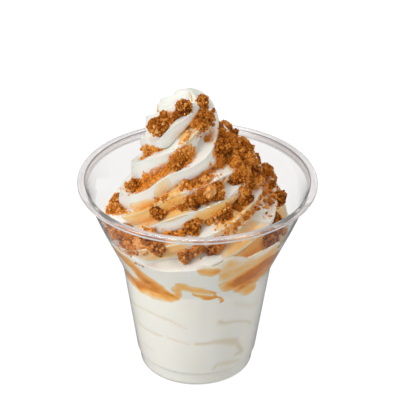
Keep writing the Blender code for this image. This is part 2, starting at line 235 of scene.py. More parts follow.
# %% From points to an object
def set_attribute(mesh, label, values):
    layer = mesh.attributes.new(label, "FLOAT", "POINT")
    layer.data.foreach_set("value", np.asarray(values, np.float32).ravel())


def make_object(name, points_mm, faces, material, attributes):
    mesh = bpy.data.meshes.new(name)
    mesh.from_pydata((points_mm * MM).tolist(), [], faces.tolist())
    for label, values in attributes.items():
        set_attribute(mesh, label, values)
    mesh.materials.append(material)
    mesh.shade_smooth()
    return in_scene(name, mesh)


def point_rows(mesh, what):
    """Every point's place (co) or normal, as rows of three."""
    found = np.empty(len(mesh.vertices) * 3, np.float32)
    mesh.vertices.foreach_get(what, found)
    return found.reshape(-1, 3).astype(float)


def finish_piece(piece, nodes=()):
    """Puts the piece on the sundae's one body, in the CAD's place, and hides the CAD nodes it stands for."""
    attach(piece, "root")
    if nodes:
        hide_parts(*nodes)
    triangles = sum(len(face.vertices) - 2 for face in piece.data.polygons)
    print(piece.name, triangles, "triangles, stands for", len(nodes), "CAD nodes")


# %% [markdown]
# ## The cup
# The cup is thin polystyrene, injection moulded: a foot, a small step, a tapered body and a
# flared mouth with a rolled rim. A lathe is the natural way to make it. Its section is drawn
# once, the corners are rounded as a mould rounds them, and Geometry Nodes sweep it round a
# ring, so the number of segments stays a named input.

# %% The cup's sizes, as in the CAD
RIM_RADIUS, CUP_HEIGHT, WALL, FLOOR = 47.5, 85.6, 0.85, 1.2
BASE_RADIUS, BASE_BEVEL_UP, BASE_BEVEL_OUT = 22.4, 0.7, 0.9
FOOT_RADIUS, FOOT_HEIGHT = 23.9, 6.2
FLOOR_BEVEL_UP, FLOOR_INSET, FOOT_INSET = 1.0, 1.4, 1.3
STEP_RADIUS, STEP_HEIGHT = 24.75, 7.0
CORNER_RADIUS, CORNER_HEIGHT = 30.3, 47.5
NECK_RADIUS, NECK_HEIGHT = 44.3, 82.6
FLARE_BOW, FLARE_BOW_POWER, FLARE_STEPS = 0.75, 1.6, 4


def flare_rings():
    """(height, outer radius) up the flare, which bows out a little in its upper half."""
    for step in range(1, FLARE_STEPS + 1):
        share = step / FLARE_STEPS
        chord = CORNER_RADIUS + share * (NECK_RADIUS - CORNER_RADIUS)
        bow = FLARE_BOW * math.sin(math.pi * share**FLARE_BOW_POWER)
        yield CORNER_HEIGHT + share * (NECK_HEIGHT - CORNER_HEIGHT), chord + bow


BASE_BEVEL = (BASE_BEVEL_UP, BASE_RADIUS + BASE_BEVEL_OUT)
STEPS = [(FOOT_HEIGHT, FOOT_RADIUS), (STEP_HEIGHT, STEP_RADIUS)]
OUTER_WALL = [*STEPS, (CORNER_HEIGHT, CORNER_RADIUS), *flare_rings()]
INNER_FOOT = [(FLOOR, BASE_RADIUS - FLOOR_INSET), (FLOOR + FLOOR_BEVEL_UP, FOOT_RADIUS - FOOT_INSET)]
OUTSIDE = np.array([(0.0, BASE_RADIUS), BASE_BEVEL, *OUTER_WALL])
INSIDE = np.array([*INNER_FOOT, *((height, radius - WALL) for height, radius in OUTER_WALL)])


def inner_radius(height):
    return np.interp(height, INSIDE[:, 0], INSIDE[:, 1])


def outer_radius(height):
    return np.interp(height, OUTSIDE[:, 0], OUTSIDE[:, 1])


# %% The section of the cup, with its corners rounded
# Each row: height, radius, and the radius of the rounding there, all in mm.
BOWED = OUTER_WALL[3:6]
CUP_SECTION = [
    (0.0, 0.0, 0.0), (0.0, BASE_RADIUS, 0.8), (*BASE_BEVEL, 1.2),
    (FOOT_HEIGHT, FOOT_RADIUS, 0.3), (STEP_HEIGHT, STEP_RADIUS, 0.5),
    (CORNER_HEIGHT, CORNER_RADIUS, 3.0),
    *((height, radius, 4.0) for height, radius in BOWED), (NECK_HEIGHT, NECK_RADIUS, 0.6),
    (CUP_HEIGHT - 2.7, RIM_RADIUS - 1.0, 0.5), (CUP_HEIGHT - 1.8, RIM_RADIUS, 0.6),
    (CUP_HEIGHT - 0.7, RIM_RADIUS, 0.7), (CUP_HEIGHT, RIM_RADIUS - 0.7, 0.6),
    (CUP_HEIGHT, RIM_RADIUS - 2.2, 0.8), (CUP_HEIGHT - 0.9, RIM_RADIUS - 3.3, 0.9),
    (NECK_HEIGHT, NECK_RADIUS - WALL, 1.0),
    *((height, radius - WALL, 4.0) for height, radius in reversed(BOWED)),
    (CORNER_HEIGHT, CORNER_RADIUS - WALL, 2.6),
    (STEP_HEIGHT, STEP_RADIUS - WALL, 0.5), (FOOT_HEIGHT, FOOT_RADIUS - WALL, 0.4),
    (*INNER_FOOT[1], 0.9), (*INNER_FOOT[0], 0.6), (FLOOR, 0.0, 0.0),
]
ARC_STEPS, MOST_OF_AN_EDGE = 5, 0.45


def rounded(section):
    """The section's points, with each corner replaced by a small curve of its own radius."""
    points = [Vector((radius, height)) for height, radius, _ in section]
    smooth = [points[0]]
    for i in range(1, len(points) - 1):
        before, corner, after = points[i - 1 : i + 2]
        sides = before - corner, after - corner
        reach = min(section[i][2], *(MOST_OF_AN_EDGE * side.length for side in sides))
        start, end = (corner + side.normalized() * reach for side in sides)
        for step in range(ARC_STEPS + 1):
            t = step / ARC_STEPS
            smooth.append(start * (1 - t) ** 2 + corner * 2 * t * (1 - t) + end * t**2)
    return [*smooth, points[-1]]


section_points = rounded(CUP_SECTION)
print("cup section:", len(section_points), "points")


# %% Running a Geometry Nodes tree
def new_group(name, sockets):
    """A Geometry Nodes tree with named inputs, and its input sockets."""
    tree = bpy.data.node_groups.new(name, "GeometryNodeTree")
    tree.interface.new_socket("Mesh", in_out="INPUT", socket_type="NodeSocketGeometry")
    for label, kind in sockets.items():
        tree.interface.new_socket(label, in_out="INPUT", socket_type=f"NodeSocket{kind}")
    tree.interface.new_socket("Mesh", in_out="OUTPUT", socket_type="NodeSocketGeometry")
    return tree, add(tree, "NodeGroupInput").outputs


def finish_group(tree, geometry, material, smooth):
    """Ends a tree: its instances become real, with a material, and go out."""
    real = add(tree, "GeometryNodeRealizeInstances", {0: geometry})
    shaded = add(tree, "GeometryNodeSetShadeSmooth", {0: real, "Shade Smooth": smooth})
    done = add(tree, "GeometryNodeSetMaterial", {0: shaded, "Material": material})
    add(tree, "NodeGroupOutput", {0: done})


def run_tree(name, base_mesh, tree, values):
    """Runs the tree on a mesh and returns the result as an object with a plain mesh."""
    base = in_scene(name, base_mesh)
    modifier = base.modifiers.new(tree.name, "NODES")
    modifier.node_group = tree
    for item in tree.interface.items_tree:
        if item.item_type == "SOCKET" and item.in_out == "INPUT" and item.name in values:
            modifier[item.identifier] = values[item.name]
    graph = bpy.context.evaluated_depsgraph_get()
    result = bpy.data.meshes.new_from_object(base.evaluated_get(graph), depsgraph=graph)
    base.modifiers.clear()
    base.data = result
    result.name = name
    return base


# %% Clear moulded polystyrene
# Polystyrene is moulded against polished steel, so it is very smooth, with only the faintest
# flow marks. A wall under a millimetre thick hardly moves what is seen through it, while it
# mirrors like any plastic. So a low IOR does the bending, and a clear coat does the mirroring.
# The coat's IOR is below the real 1.59, because a glare over dark food makes it milky.
WALL_IOR, COAT_IOR, COAT_ROUGHNESS = 1.08, 1.3, 0.02
FLOW_MARKS, SMOOTHEST, ROUGHEST = 9.0, 0.015, 0.05
clear_plastic, tree, shader, place = new_material("clear_moulded_polystyrene")
flow = add(tree, "ShaderNodeTexNoise", {"Vector": place, "Scale": per_mm(FLOW_MARKS), "Detail": 2.0})
rough = add(tree, "ShaderNodeMapRange", {"Value": flow, "To Min": SMOOTHEST, "To Max": ROUGHEST})
# The rim's bead is the one thick place. Light scattered along it makes its lower half milky.
BEAD_FROM = 82.2
MILKY_STOPS = [(0.0, "#FFFFFF"), (0.25, "#A0A0A0"), (0.6, "#A0A0A0"), (0.68, "#E1E1E1"), (1.0, "#E1E1E1")]
height = add(tree, "ShaderNodeSeparateXYZ", {0: place}).outputs["Z"]
in_bead = add(tree, "ShaderNodeMapRange", {
    "Value": height, "From Min": BEAD_FROM * MM, "From Max": CUP_HEIGHT * MM,
})
clear = set_stops(add(tree, "ShaderNodeValToRGB", {0: in_bead}), MILKY_STOPS)
# Its grey, pinkish and white bands are painted reflection and painted highlight, drawn into its colour
# as streaks along it. The grey on the wall below is what a wall swallows each time light crosses it.
WALL_GREY_AND_PAINTED_REFLECTION_STOPS = [
    (0.0, "#F0EEED"), (0.2, "#DCD6D4"), (0.3, "#FFFFFF"), (0.6, "#FFFFFF"), (0.68, "#D6BEB9"),
    (0.8, "#EFE9E7"), (0.9, "#FFFFFF"), (1.0, "#F0EEEE"),
]
# These streaks on the bead are painted reflection and painted highlight.
streaks = set_stops(add(tree, "ShaderNodeValToRGB", {0: in_bead}), WALL_GREY_AND_PAINTED_REFLECTION_STOPS)
# Its inner corner throws the light back into the wall, which leaves a thin dark line there. That
# line is painted shade, drawn into its colour.
CORNER_LINE, LINE_HALF = 44.6, 0.4
flat_place = add(tree, "ShaderNodeVectorMath", {0: place, 1: (1.0, 1.0, 0.0)}, operation="MULTIPLY")
spoke = add(tree, "ShaderNodeVectorMath", {0: flat_place}, operation="LENGTH")
off_line = add(tree, "ShaderNodeMath", {0: spoke, 1: CORNER_LINE * MM}, operation="SUBTRACT")
off_line = add(tree, "ShaderNodeMath", {0: off_line}, operation="ABSOLUTE")
on_painted_line = add(tree, "ShaderNodeMapRange", {
    "Value": off_line, "From Max": LINE_HALF * MM, "To Min": 1.0, "To Max": 0.0,
}, interpolation_type="SMOOTHSTEP")
tint_and_painted_lines = add(tree, "ShaderNodeMix", {
    "Factor": on_painted_line, "A": streaks, "B": linear("#464044"),
}, data_type="RGBA")
connect(shader, {
    "IOR": WALL_IOR, "Coat Weight": 1.0, "Coat IOR": COAT_IOR, "Coat Roughness": COAT_ROUGHNESS,
    "Roughness": rough, "Transmission Weight": clear, "Base Color": tint_and_painted_lines,
})

# %% Turn the cup on a lathe
# Curve to Mesh carries the section along a ring. On a level ring the section's x axis points
# outwards and its y axis down, so its points go in as their distance from the ring's radius,
# and as minus their height. The two ends on the axis close when doubles are merged.
RING_RADIUS, CUP_SEGMENTS, DOUBLES = 40.0, 176, 0.001
lathe, given = new_group("lathe", {"Ring radius": "Float", "Segments": "Int"})
profile = add(lathe, "GeometryNodeMeshToCurve", {0: given["Mesh"]})
ring = add(lathe, "GeometryNodeCurvePrimitiveCircle", {
    "Resolution": given["Segments"], "Radius": given["Ring radius"],
})
level_ring = add(lathe, "GeometryNodeSetCurveNormal", {0: ring}, mode="Z_UP")
turned = add(lathe, "GeometryNodeCurveToMesh", {0: level_ring, 1: profile})
closed = add(lathe, "GeometryNodeMergeByDistance", {0: turned, "Distance": DOUBLES * MM})
outward = add(lathe, "GeometryNodeFlipFaces", {0: closed})
finish_group(lathe, outward, clear_plastic, True)

section_mesh = bpy.data.meshes.new("cup_section")
section_spots = [((point.x - RING_RADIUS) * MM, -point.y * MM, 0.0) for point in section_points]
section_mesh.from_pydata(section_spots, [(i, i + 1) for i in range(len(section_spots) - 1)], [])
cup = run_tree("clear_cup", section_mesh, lathe, {"Ring radius": RING_RADIUS * MM, "Segments": CUP_SEGMENTS})
bm = bmesh.new()
bm.from_mesh(cup.data)
print("plastic, cubic mm:", round(bm.calc_volume(signed=True) / MM**3))
bm.free()
# The shadow of a clear cup is almost nothing, so lamps are let through it.
cup.visible_shadow = False

# %% [markdown]
# ## The shape of the swirl
# A nozzle with six points lays down six ridges, which climb round the swirl like a screw with
# six threads. So the surface has a rule: go down any side and the same section repeats, a
# crisp lip, a smooth face and a deep trough. A vertex belongs to an angle and to a number of
# ridges down from the tip, and those two numbers also say later where sauce and crumbs lie.

# %% The swirl's numbers, as in the CAD
RIDGES, RIDGE_SPACING = 6, 8.5
# Ridge line, then its height.
RIDGE_HEIGHTS = np.array([
    (-2.5, 57), (-1.5, 66), (-0.5, 76), (0.5, 85.5), (1.5, 92.7),
    (2.5, 99.7), (3.5, 106.9), (4.5, 116.5), (5.5, 124),
])
# Height, then radius or sideways lean.
SWIRL_RADII = np.array([
    (57, 41.5), (66, 38), (78, 31.5), (85.5, 27.6), (94, 23.2), (100, 19.8),
    (107, 15.6), (113, 13.2), (116, 11.3), (119, 8.7), (121.5, 5.5), (124, 0.6),
])
SWIRL_LEAN = np.array([
    (57, 0), (70, 0), (78, 1), (94, -1.6), (100, -3.4), (107, -6.2),
    (113, -6.1), (116, -5), (119, -4.3), (124, -4.1),
])
# From a lip down to the next lip: share of the way, then mm outwards and upwards.
RIDGE_SECTION = np.array([
    (0, 0.2, 0.9), (0.04, -0.2, 0.62), (0.12, -0.6, 0.35), (0.27, -1.25, 0),
    (0.42, -2.3, -0.2), (0.55, -3.6, -0.35), (0.66, -4.9, -0.3), (0.78, -3.8, -0.1),
    (0.9, -2, 0.35), (0.96, -0.9, 0.6), (1, 0.2, 0.9),
])
# Where the ridges have slumped: angle and its spread, height and its reach, the drop.
SLUMPS = [
    (180, 80, 84, 22, 12.5), (218, 38, 92, 10, 3),
    (232, 32, 110, 7, 3.5), (328, 45, 98, 5.5, 2.5),
]
SMOOTH_ANGLE, SMOOTH_SPREAD, SMOOTH_HEIGHT, SMOOTH_REACH, SMOOTHING = 200.0, 48.0, 109.0, 9.0, 0.85
RIDGES_START, RIDGES_FULL, DEEP_RIDGE_RADIUS = 62.0, 70.0, 15.0
RIDGES_WAVER, WAVER_ROUND, WAVER_ACROSS, WAVER_FROM = 2.5, 3.0, 5.0, 60.0
WOBBLE, WOBBLE_SIZE = 0.7, 14.0
# Where the food leaves the wall, it does so in an uneven line.
PRESSED_WOBBLE, PRESSED_HEIGHT, PRESSED_REACH = 2.2, 63.0, 7.0
PRESSED_FINE, PRESSED_FINE_SIZE = 0.5, 5.0
TIP = (-4.1, 0.0, 124.0)


# %% Curves through a few numbers
def curve_through(points, x, column=1):
    """Values at x on a smooth curve through the rows of points."""
    xs, ys = points[:, 0], points[:, column]
    before = np.maximum(np.arange(len(xs)) - 1, 0)
    after = np.minimum(np.arange(len(xs)) + 1, len(xs) - 1)
    slope = (ys[after] - ys[before]) / (xs[after] - xs[before])
    x = np.clip(x, xs[0], xs[-1])
    row = np.clip(np.searchsorted(xs, x) - 1, 0, len(xs) - 2)
    step = xs[row + 1] - xs[row]
    t = (x - xs[row]) / step
    return (
        (2 * t**3 - 3 * t**2 + 1) * ys[row] + (t**3 - 2 * t**2 + t) * step * slope[row]
        + (3 * t**2 - 2 * t**3) * ys[row + 1] + (t**3 - t**2) * step * slope[row + 1]
    )


def smoothstep(low, high, x):
    t = np.clip((x - low) / (high - low), 0.0, 1.0)
    return t * t * (3 - 2 * t)


def hump(distance, reach):
    """1 in the middle, falling smoothly to 0 at reach."""
    return np.cos(np.pi / 2 * np.clip(distance / reach, -1.0, 1.0)) ** 2


def angle_between(a, b):
    return (a - b + 180.0) % 360.0 - 180.0


def noise_at(points, size, octaves=1):
    """Smooth noise between about -1 and 1, for points in mm and features of this size."""
    waves = [(2**k / size, 2**k) for k in range(octaves)]
    return np.array([sum(noise.noise(Vector(p) * fine) / weak for fine, weak in waves) for p in points])


# %% The swirl's surface
# How far the food reaches into the inside of the wall, so that no air gap shows behind it. A real
# wall bends the light so that the food seems to fill it.
INTO_WALL = 0.45
TINY = 0.01


def swirl(angle, turn):
    """Points in mm on the swirl, at these angles in degrees and ridge lines."""
    share = (RIDGES * angle / 360.0 - turn) % 1.0
    line = curve_through(RIDGE_HEIGHTS, turn)
    height = line - sum(
        drop * hump(angle_between(angle, middle), spread) * hump(line - level, reach)
        for middle, spread, level, reach, drop in SLUMPS
    )
    radius = curve_through(SWIRL_RADII, height)
    lean = curve_through(SWIRL_LEAN, height)
    spacing = curve_through(RIDGE_HEIGHTS, turn + 0.5) - curve_through(RIDGE_HEIGHTS, turn - 0.5)
    waver = RIDGES_WAVER * np.sin(np.radians(WAVER_ROUND * angle + WAVER_FROM))
    waver = waver * np.cos(np.radians(WAVER_ACROSS * angle))
    depth = spacing / RIDGE_SPACING * smoothstep(RIDGES_START + waver, RIDGES_FULL + waver, height)
    depth = depth * np.minimum(1.0, radius / DEEP_RIDGE_RADIUS)
    lobe = hump(angle_between(angle, SMOOTH_ANGLE), SMOOTH_SPREAD)
    depth = depth * (1.0 - SMOOTHING * lobe * hump(height - SMOOTH_HEIGHT, SMOOTH_REACH))
    radius = radius + depth * curve_through(RIDGE_SECTION, share, 1)
    height = height + depth * curve_through(RIDGE_SECTION, share, 2)
    around = np.radians(angle)
    points = np.stack([radius * np.cos(around) + lean, radius * np.sin(around), height], -1)
    loose = WOBBLE * np.minimum(1.0, depth) + PRESSED_WOBBLE * hump(height - PRESSED_HEIGHT, PRESSED_REACH)
    fine = PRESSED_FINE * (loose - WOBBLE * depth).clip(0)
    push = loose * noise_at(points, WOBBLE_SIZE) + fine * noise_at(points, PRESSED_FINE_SIZE)
    points[:, 0] += push * np.cos(around)
    points[:, 1] += push * np.sin(around)
    return points


def inside_wall(points, gap, rounding=TINY):
    """The same points, moved to stay this far inside the cup's wall, with the bend rounded."""
    flat = np.maximum(np.hypot(points[:, 0], points[:, 1]), TINY)
    most = inner_radius(points[:, 2]) - gap
    bend = np.maximum(rounding - np.abs(flat - most), 0.0) ** 2 / (4 * rounding)
    pull = np.where(points[:, 2] <= NECK_HEIGHT, (np.minimum(flat, most) - bend) / flat, 1.0)
    return points * np.stack([pull, pull, np.ones_like(pull)], -1)


# %% The grid of the swirl
# A row climbs by exactly the part of a ridge that a column goes round, so lips run along edges.
COLUMNS, SWIRL_ROWS, LOWEST_TURN = 240, 298, -2.0
PRESSED_ROUNDING = 1.7
turns = LOWEST_TURN + np.arange(SWIRL_ROWS) / (COLUMNS // RIDGES)
angles = np.arange(COLUMNS) * 360.0 / COLUMNS
grid_turn, grid_angle = (a.ravel() for a in np.meshgrid(turns, angles, indexing="ij"))
swirl_spots = inside_wall(swirl(grid_angle, grid_turn), -INTO_WALL, PRESSED_ROUNDING)
print("swirl grid:", len(swirl_spots), "points, top at", round(swirl_spots[:, 2].max(), 1), "mm")

# %% [markdown]
# ## The soft serve
# Below the swirl the ice cream fills the cup. It was pressed against the wall in folds, and
# where two folds meet a thin pocket of air stays, which shows as a faint warm line. Those lines
# are drawn as strokes on the wall: each point near one is pressed in a little, and the warm line
# is painted shade in its colour.

# %% Strokes on the wall
MM_PER_DEGREE = math.pi / 180
FAR_OUTSIDE = -3.0


def stroke_field(angle, height, strokes):
    """1 along the middle of a stroke, 0 at its edge and negative beyond, times its strength.

    A stroke is a strength and a list of (angle, height, half width), in degrees and mm. The
    length of a degree is taken halfway between the heights of two of its points.
    """
    field = np.full(len(angle), FAR_OUTSIDE)
    for strength, path in strokes:
        for (a0, z0, w0), (a1, z1, w1) in zip(path, path[1:]):
            scale = inner_radius((z0 + z1) / 2) * MM_PER_DEGREE
            x, y = angle_between(angle, a0) * scale, height - z0
            dx, dy = (a1 - a0) * scale, z1 - z0
            t = np.clip((x * dx + y * dy) / (dx * dx + dy * dy), 0.0, 1.0)
            far = np.hypot(x - t * dx, y - t * dy) / (w0 + t * (w1 - w0))
            field = np.maximum(field, strength * (1.0 - far**2))
    return field


FOLDS = [
    (0.8, [(-163, 32, 0.8), (-145, 34.2, 0.8), (-129, 35, 0.8), (-112, 34.5, 0.9), (-97, 31.4, 0.5)]),
    (0.9, [(-153, 25, 0.7), (-144, 24, 0.8), (-126, 24.2, 0.9), (-120, 24.9, 0.5)]),
    (0.8, [(-115, 24.8, 0.6), (-107, 24.2, 0.7), (-96, 23.2, 0.6)]),
    (1, [(-90.5, 23.5, 0.9), (-81, 23.4, 0.9), (-74, 24, 1.2), (-62, 22.8, 2.2), (-54, 21, 2.6)]),
    (1, [(-56, 23, 0.8), (-49, 18, 1.6), (-42, 13, 1.2), (-51, 13.3, 0.8)]),
    (1, [(-70, 34, 1.5), (-66, 33, 0.9), (-56.5, 32.4, 0.7), (-43, 29.6, 0.7), (-35, 26.4, 0.6)]),
    (0.5, [(-59, 42.5, 0.8), (-48, 39, 1.6), (-39, 36, 1.4), (-30, 35, 0.8)]),
    (0.4, [(-150, 14.4, 0.8), (-141, 14.5, 1.2), (-131, 14, 0.6)]),
    (0.6, [(-73, 8.6, 0.8), (-69, 11, 1.2), (-58, 10.4, 1.6), (-43, 8.8, 0.9)]),
    (0.5, [(30, 30, 0.8), (60, 27.5, 0.8), (95, 29, 0.7)]),
    (0.6, [(110, 20, 0.7), (135, 21.5, 1), (165, 19.5, 0.6)]),
    (0.5, [(0, 18, 0.6), (28, 16.5, 1.3), (50, 17.5, 0.5)]),
]

# %% The soft serve's body against the wall
BODY_FROM, BODY_TOP, BODY_ROWS, FLOOR_ROWS = 1.7, 60.5, 75, (0.35, 1.0)
FOLD_DEPTH, FOLD_SHOULDER = 0.34, 0.7


def ring_points(radius, angle, height):
    around = np.radians(angle)
    return np.stack([radius * np.cos(around), radius * np.sin(around), height], -1)


body_heights = np.concatenate([
    [FLOOR - INTO_WALL, *(FLOOR + up for up in FLOOR_ROWS)],
    np.linspace(FLOOR + BODY_FROM, BODY_TOP, BODY_ROWS),
])
body_height, body_angle = (a.ravel() for a in np.meshgrid(body_heights, angles, indexing="ij"))
fold = np.clip(stroke_field(body_angle, body_height, FOLDS), 0.0, 1.0)
body_radius = outer_radius(body_height) - (WALL - INTO_WALL)
body_radius -= FOLD_DEPTH * smoothstep(0.0, FOLD_SHOULDER, fold)
body_spots = ring_points(body_radius, body_angle, body_height)


# %% Join the body and the swirl
def ring_faces(rows, columns):
    """Triangles between rings, cut the way that the ridges climb."""
    i, j = (a.ravel() for a in np.meshgrid(np.arange(rows - 1), np.arange(columns), indexing="ij"))
    here, after = i * columns + j, i * columns + (j + 1) % columns
    lower = np.stack([here, after, after + columns], -1)
    upper = np.stack([here, after + columns, here + columns], -1)
    return np.concatenate([lower, upper])


# The foam's own unevenness: gentle dents and small ripples, fading where the wall presses it.
DENT, DENT_SIZE, RIPPLE, RIPPLE_SIZE = 0.22, 4.5, 0.07, 1.3
free = smoothstep(0.0, 1.0, inner_radius(swirl_spots[:, 2]) - np.hypot(swirl_spots[:, 0], swirl_spots[:, 1]))
free = np.where(swirl_spots[:, 2] > NECK_HEIGHT, 1.0, free)
uneven = DENT * noise_at(swirl_spots, DENT_SIZE) + RIPPLE * noise_at(swirl_spots, RIPPLE_SIZE, 2)
swirl_out = np.stack([np.cos(np.radians(grid_angle)), np.sin(np.radians(grid_angle))], -1)
swirl_spots[:, :2] += swirl_out * (uneven * free)[:, None]

body_count = len(body_spots)
all_spots = np.concatenate([body_spots, swirl_spots, [(0, 0, FLOOR - INTO_WALL), TIP]])
all_rows = len(body_heights) + SWIRL_ROWS
bottom, tip = len(all_spots) - 2, len(all_spots) - 1
ring = np.arange(COLUMNS)
after = (ring + 1) % COLUMNS
last = (all_rows - 1) * COLUMNS
bottom_faces = np.stack([np.full(COLUMNS, bottom), after, ring], -1)
tip_faces = np.stack([np.full(COLUMNS, tip), last + ring, last + after], -1)
faces = np.concatenate([ring_faces(all_rows, COLUMNS), bottom_faces, tip_faces])

# %% Vanilla soft serve
# Soft serve is frozen foam: half of it is air. Light goes a few millimetres in and comes out
# again, warm and soft, and the surface is satin with pores far finer than a millimetre. The
# pores are drawn at 0.5 mm, as coarse as it takes for them to show.
TONE_PATCH, PORE, DUST_PATCH, DUST_CONTRAST = 16.0, 0.5, 1.6, 1.7
soft_serve_material, tree, shader, place = new_material("vanilla_soft_serve")
# A darker warm cream along the folds is painted shade of the air pockets.
pocket_shade_mask = add(tree, "ShaderNodeAttribute", attribute_name="fold").outputs["Fac"]
tone = add(tree, "ShaderNodeTexNoise", {"Vector": place, "Scale": per_mm(TONE_PATCH), "Detail": 3.0})
CREAM_STOPS = [(0.3, "#F4F4E9"), (0.7, "#F8F7EF")]
cream = set_stops(add(tree, "ShaderNodeValToRGB", {0: tone}), CREAM_STOPS)
with_painted_pocket_shade = add(tree, "ShaderNodeMix", {
    "Factor": pocket_shade_mask, "A": cream, "B": linear("#E9E0C8"),
}, data_type="RGBA")
# Biscuit dust and melted sugar stain it where crumbs lie.
dusty = add(tree, "ShaderNodeAttribute", attribute_name="dust").outputs["Fac"]
specks = add(tree, "ShaderNodeTexNoise", {"Vector": place, "Scale": per_mm(DUST_PATCH), "Detail": 2.0})
stain = add(tree, "ShaderNodeMath", {0: dusty, 1: specks}, operation="MULTIPLY")
stain = add(tree, "ShaderNodeMath", {0: stain, 1: DUST_CONTRAST}, operation="MULTIPLY", use_clamp=True)
dusted = add(tree, "ShaderNodeMix", {
    "Factor": stain, "A": with_painted_pocket_shade, "B": linear("#D8883A"),
}, data_type="RGBA")
pores = add(tree, "ShaderNodeTexNoise", {"Vector": place, "Scale": per_mm(PORE), "Detail": 2.0})
bump = add(tree, "ShaderNodeBump", {"Strength": 0.25, "Distance": 0.12 * MM, "Height": pores})
# The nozzle leaves fine lines along each ridge. Each ridge has about fourteen of them.
LINES_PER_RIDGE = 14.0
lines = add(tree, "ShaderNodeAttribute", attribute_name="line").outputs["Fac"]
drawn = add(tree, "ShaderNodeTexNoise", {"W": lines, "Scale": LINES_PER_RIDGE}, noise_dimensions="1D")
combed = add(tree, "ShaderNodeBump", {
    "Strength": 0.3, "Distance": 0.25 * MM, "Height": drawn, "Normal": bump,
})
connect(shader, {
    "Base Color": dusted, "Roughness": 0.42, "IOR": 1.36, "Normal": combed, "Subsurface Weight": 0.4,
    "Subsurface Radius": (1.0, 0.75, 0.5), "Subsurface Scale": 1.0 * MM,
})


def over_swirl(values):
    """Values of the swirl's points, with zeros for the body below it and the two poles."""
    return np.concatenate([np.zeros(body_count), values, [0.0, 0.0]])


# A line keeps its number along a ridge, so the numbers are ridges down at a fixed angle.
# The warm lines of the air pockets go to the material as painted shade.
painted_pocket_shade = np.concatenate([fold, np.zeros(len(swirl_spots) + 2)])
line_numbers = over_swirl(RIDGES * grid_angle / 360.0 - grid_turn)
soft_serve = make_object(
    "soft_serve_swirl", all_spots, faces, soft_serve_material, {"fold": painted_pocket_shade, "line": line_numbers}
)
normals = point_rows(soft_serve.data, "normal")[body_count : body_count + len(swirl_spots)]

# %% [markdown]
# ## Where the toppings lie
# Sauce and crumbs slide into the troughs, so they are placed in the swirl's own numbers: the
# angle, counted from 150 at the back left round the front to 510, and how many ridges down from
# the tip. A topping is an oval there, in a list. The same list then shapes the sauce, shades
# the ice cream and tells Geometry Nodes how thickly to strew the crumbs.

# %% Ovals in the swirl's numbers
BACK_ANGLE = 150.0
flow_angle = np.where(grid_angle < BACK_ANGLE, grid_angle + 360.0, grid_angle)
ridges_down = RIDGES * flow_angle / 360.0 - grid_turn


def oval_field(ovals, warp, which=0):
    """The greatest of the ovals' values: its strength in the middle, 0 at its edge."""
    field = np.full(len(flow_angle), FAR_OUTSIDE)
    for angle, down, half_angle, half_down, slant, *strengths in ovals:
        for turn_round in (-1, 0, 1):
            a = flow_angle - angle - 360.0 * turn_round
            d = ridges_down - down - RIDGES * turn_round - slant * a
            far = np.hypot(a / half_angle, d / half_down) + warp
            field = np.maximum(field, strengths[which] * (1.0 - far**2))
    return field


# %% Pools of sauce
# Angle, ridges down, half angle, half width in ridges, slant, strength.
POOLS = [
    (222, 2.85, 21, 0.62, 0.008, 1), (232, 3.55, 22, 0.42, 0.01, 1), (252, 3.7, 22, 0.36, 0, 1),
    (238, 2.3, 9, 0.3, 0, 0.3), (249, 3.2, 15, 0.55, 0, 1.1), (302, 5, 20, 0.28, 0, 0.8),
    (288, -0.4, 14, 0.2, 0, 0.4), (342, 2.95, 28, 0.5, 0, 1), (345, 4.05, 30, 0.5, 0, 1),
    (285, 4.38, 24, 0.42, 0, 1.2), (308, 6.25, 22, 0.6, 0.01, 1.2), (345, 6.95, 18, 0.3, 0, 0.45),
    (380, 3.95, 18, 0.2, 0, 0.7), (249, 5.15, 16, 0.36, 0, 0.75), (275, 0.8, 10, 0.18, 0, 0.9),
    (290, 0.95, 16, 0.2, 0, 0.3), (345, 5.55, 7, 0.28, 0, 0.9), (313, 5.5, 6, 0.2, 0, 1.1),
    (282, 1.35, 5, 0.15, 0, 1.1), (392, 2.9, 14, 0.45, 0, 0.5), (175, 2.6, 14, 0.26, 0, 0.4),
    (200, 0.55, 18, 0.18, 0, 0.45), (226, 0.5, 8, 0.22, 0, 0.5), (222, 1.75, 30, 0.12, 0, 0.35),
    (330, 3.3, 20, 0.25, 0, 0.5), (300, 3.5, 16, 0.22, 0, 0.5), (318, 4.55, 14, 0.2, 0, 0.4),
    (430, 4.8, 18, 0.4, 0, 0.8), (470, 5.6, 20, 0.35, 0, 0.7), (410, 5.6, 14, 0.3, 0, 0.6),
    (500, 4.6, 16, 0.35, 0, 0.8), (450, 3.7, 22, 0.25, 0, 0.6),
]
RAGGED, RAGGED_SIZE = 0.16, 5.0
pool = oval_field(POOLS, RAGGED * noise_at(swirl_spots, RAGGED_SIZE, 3))

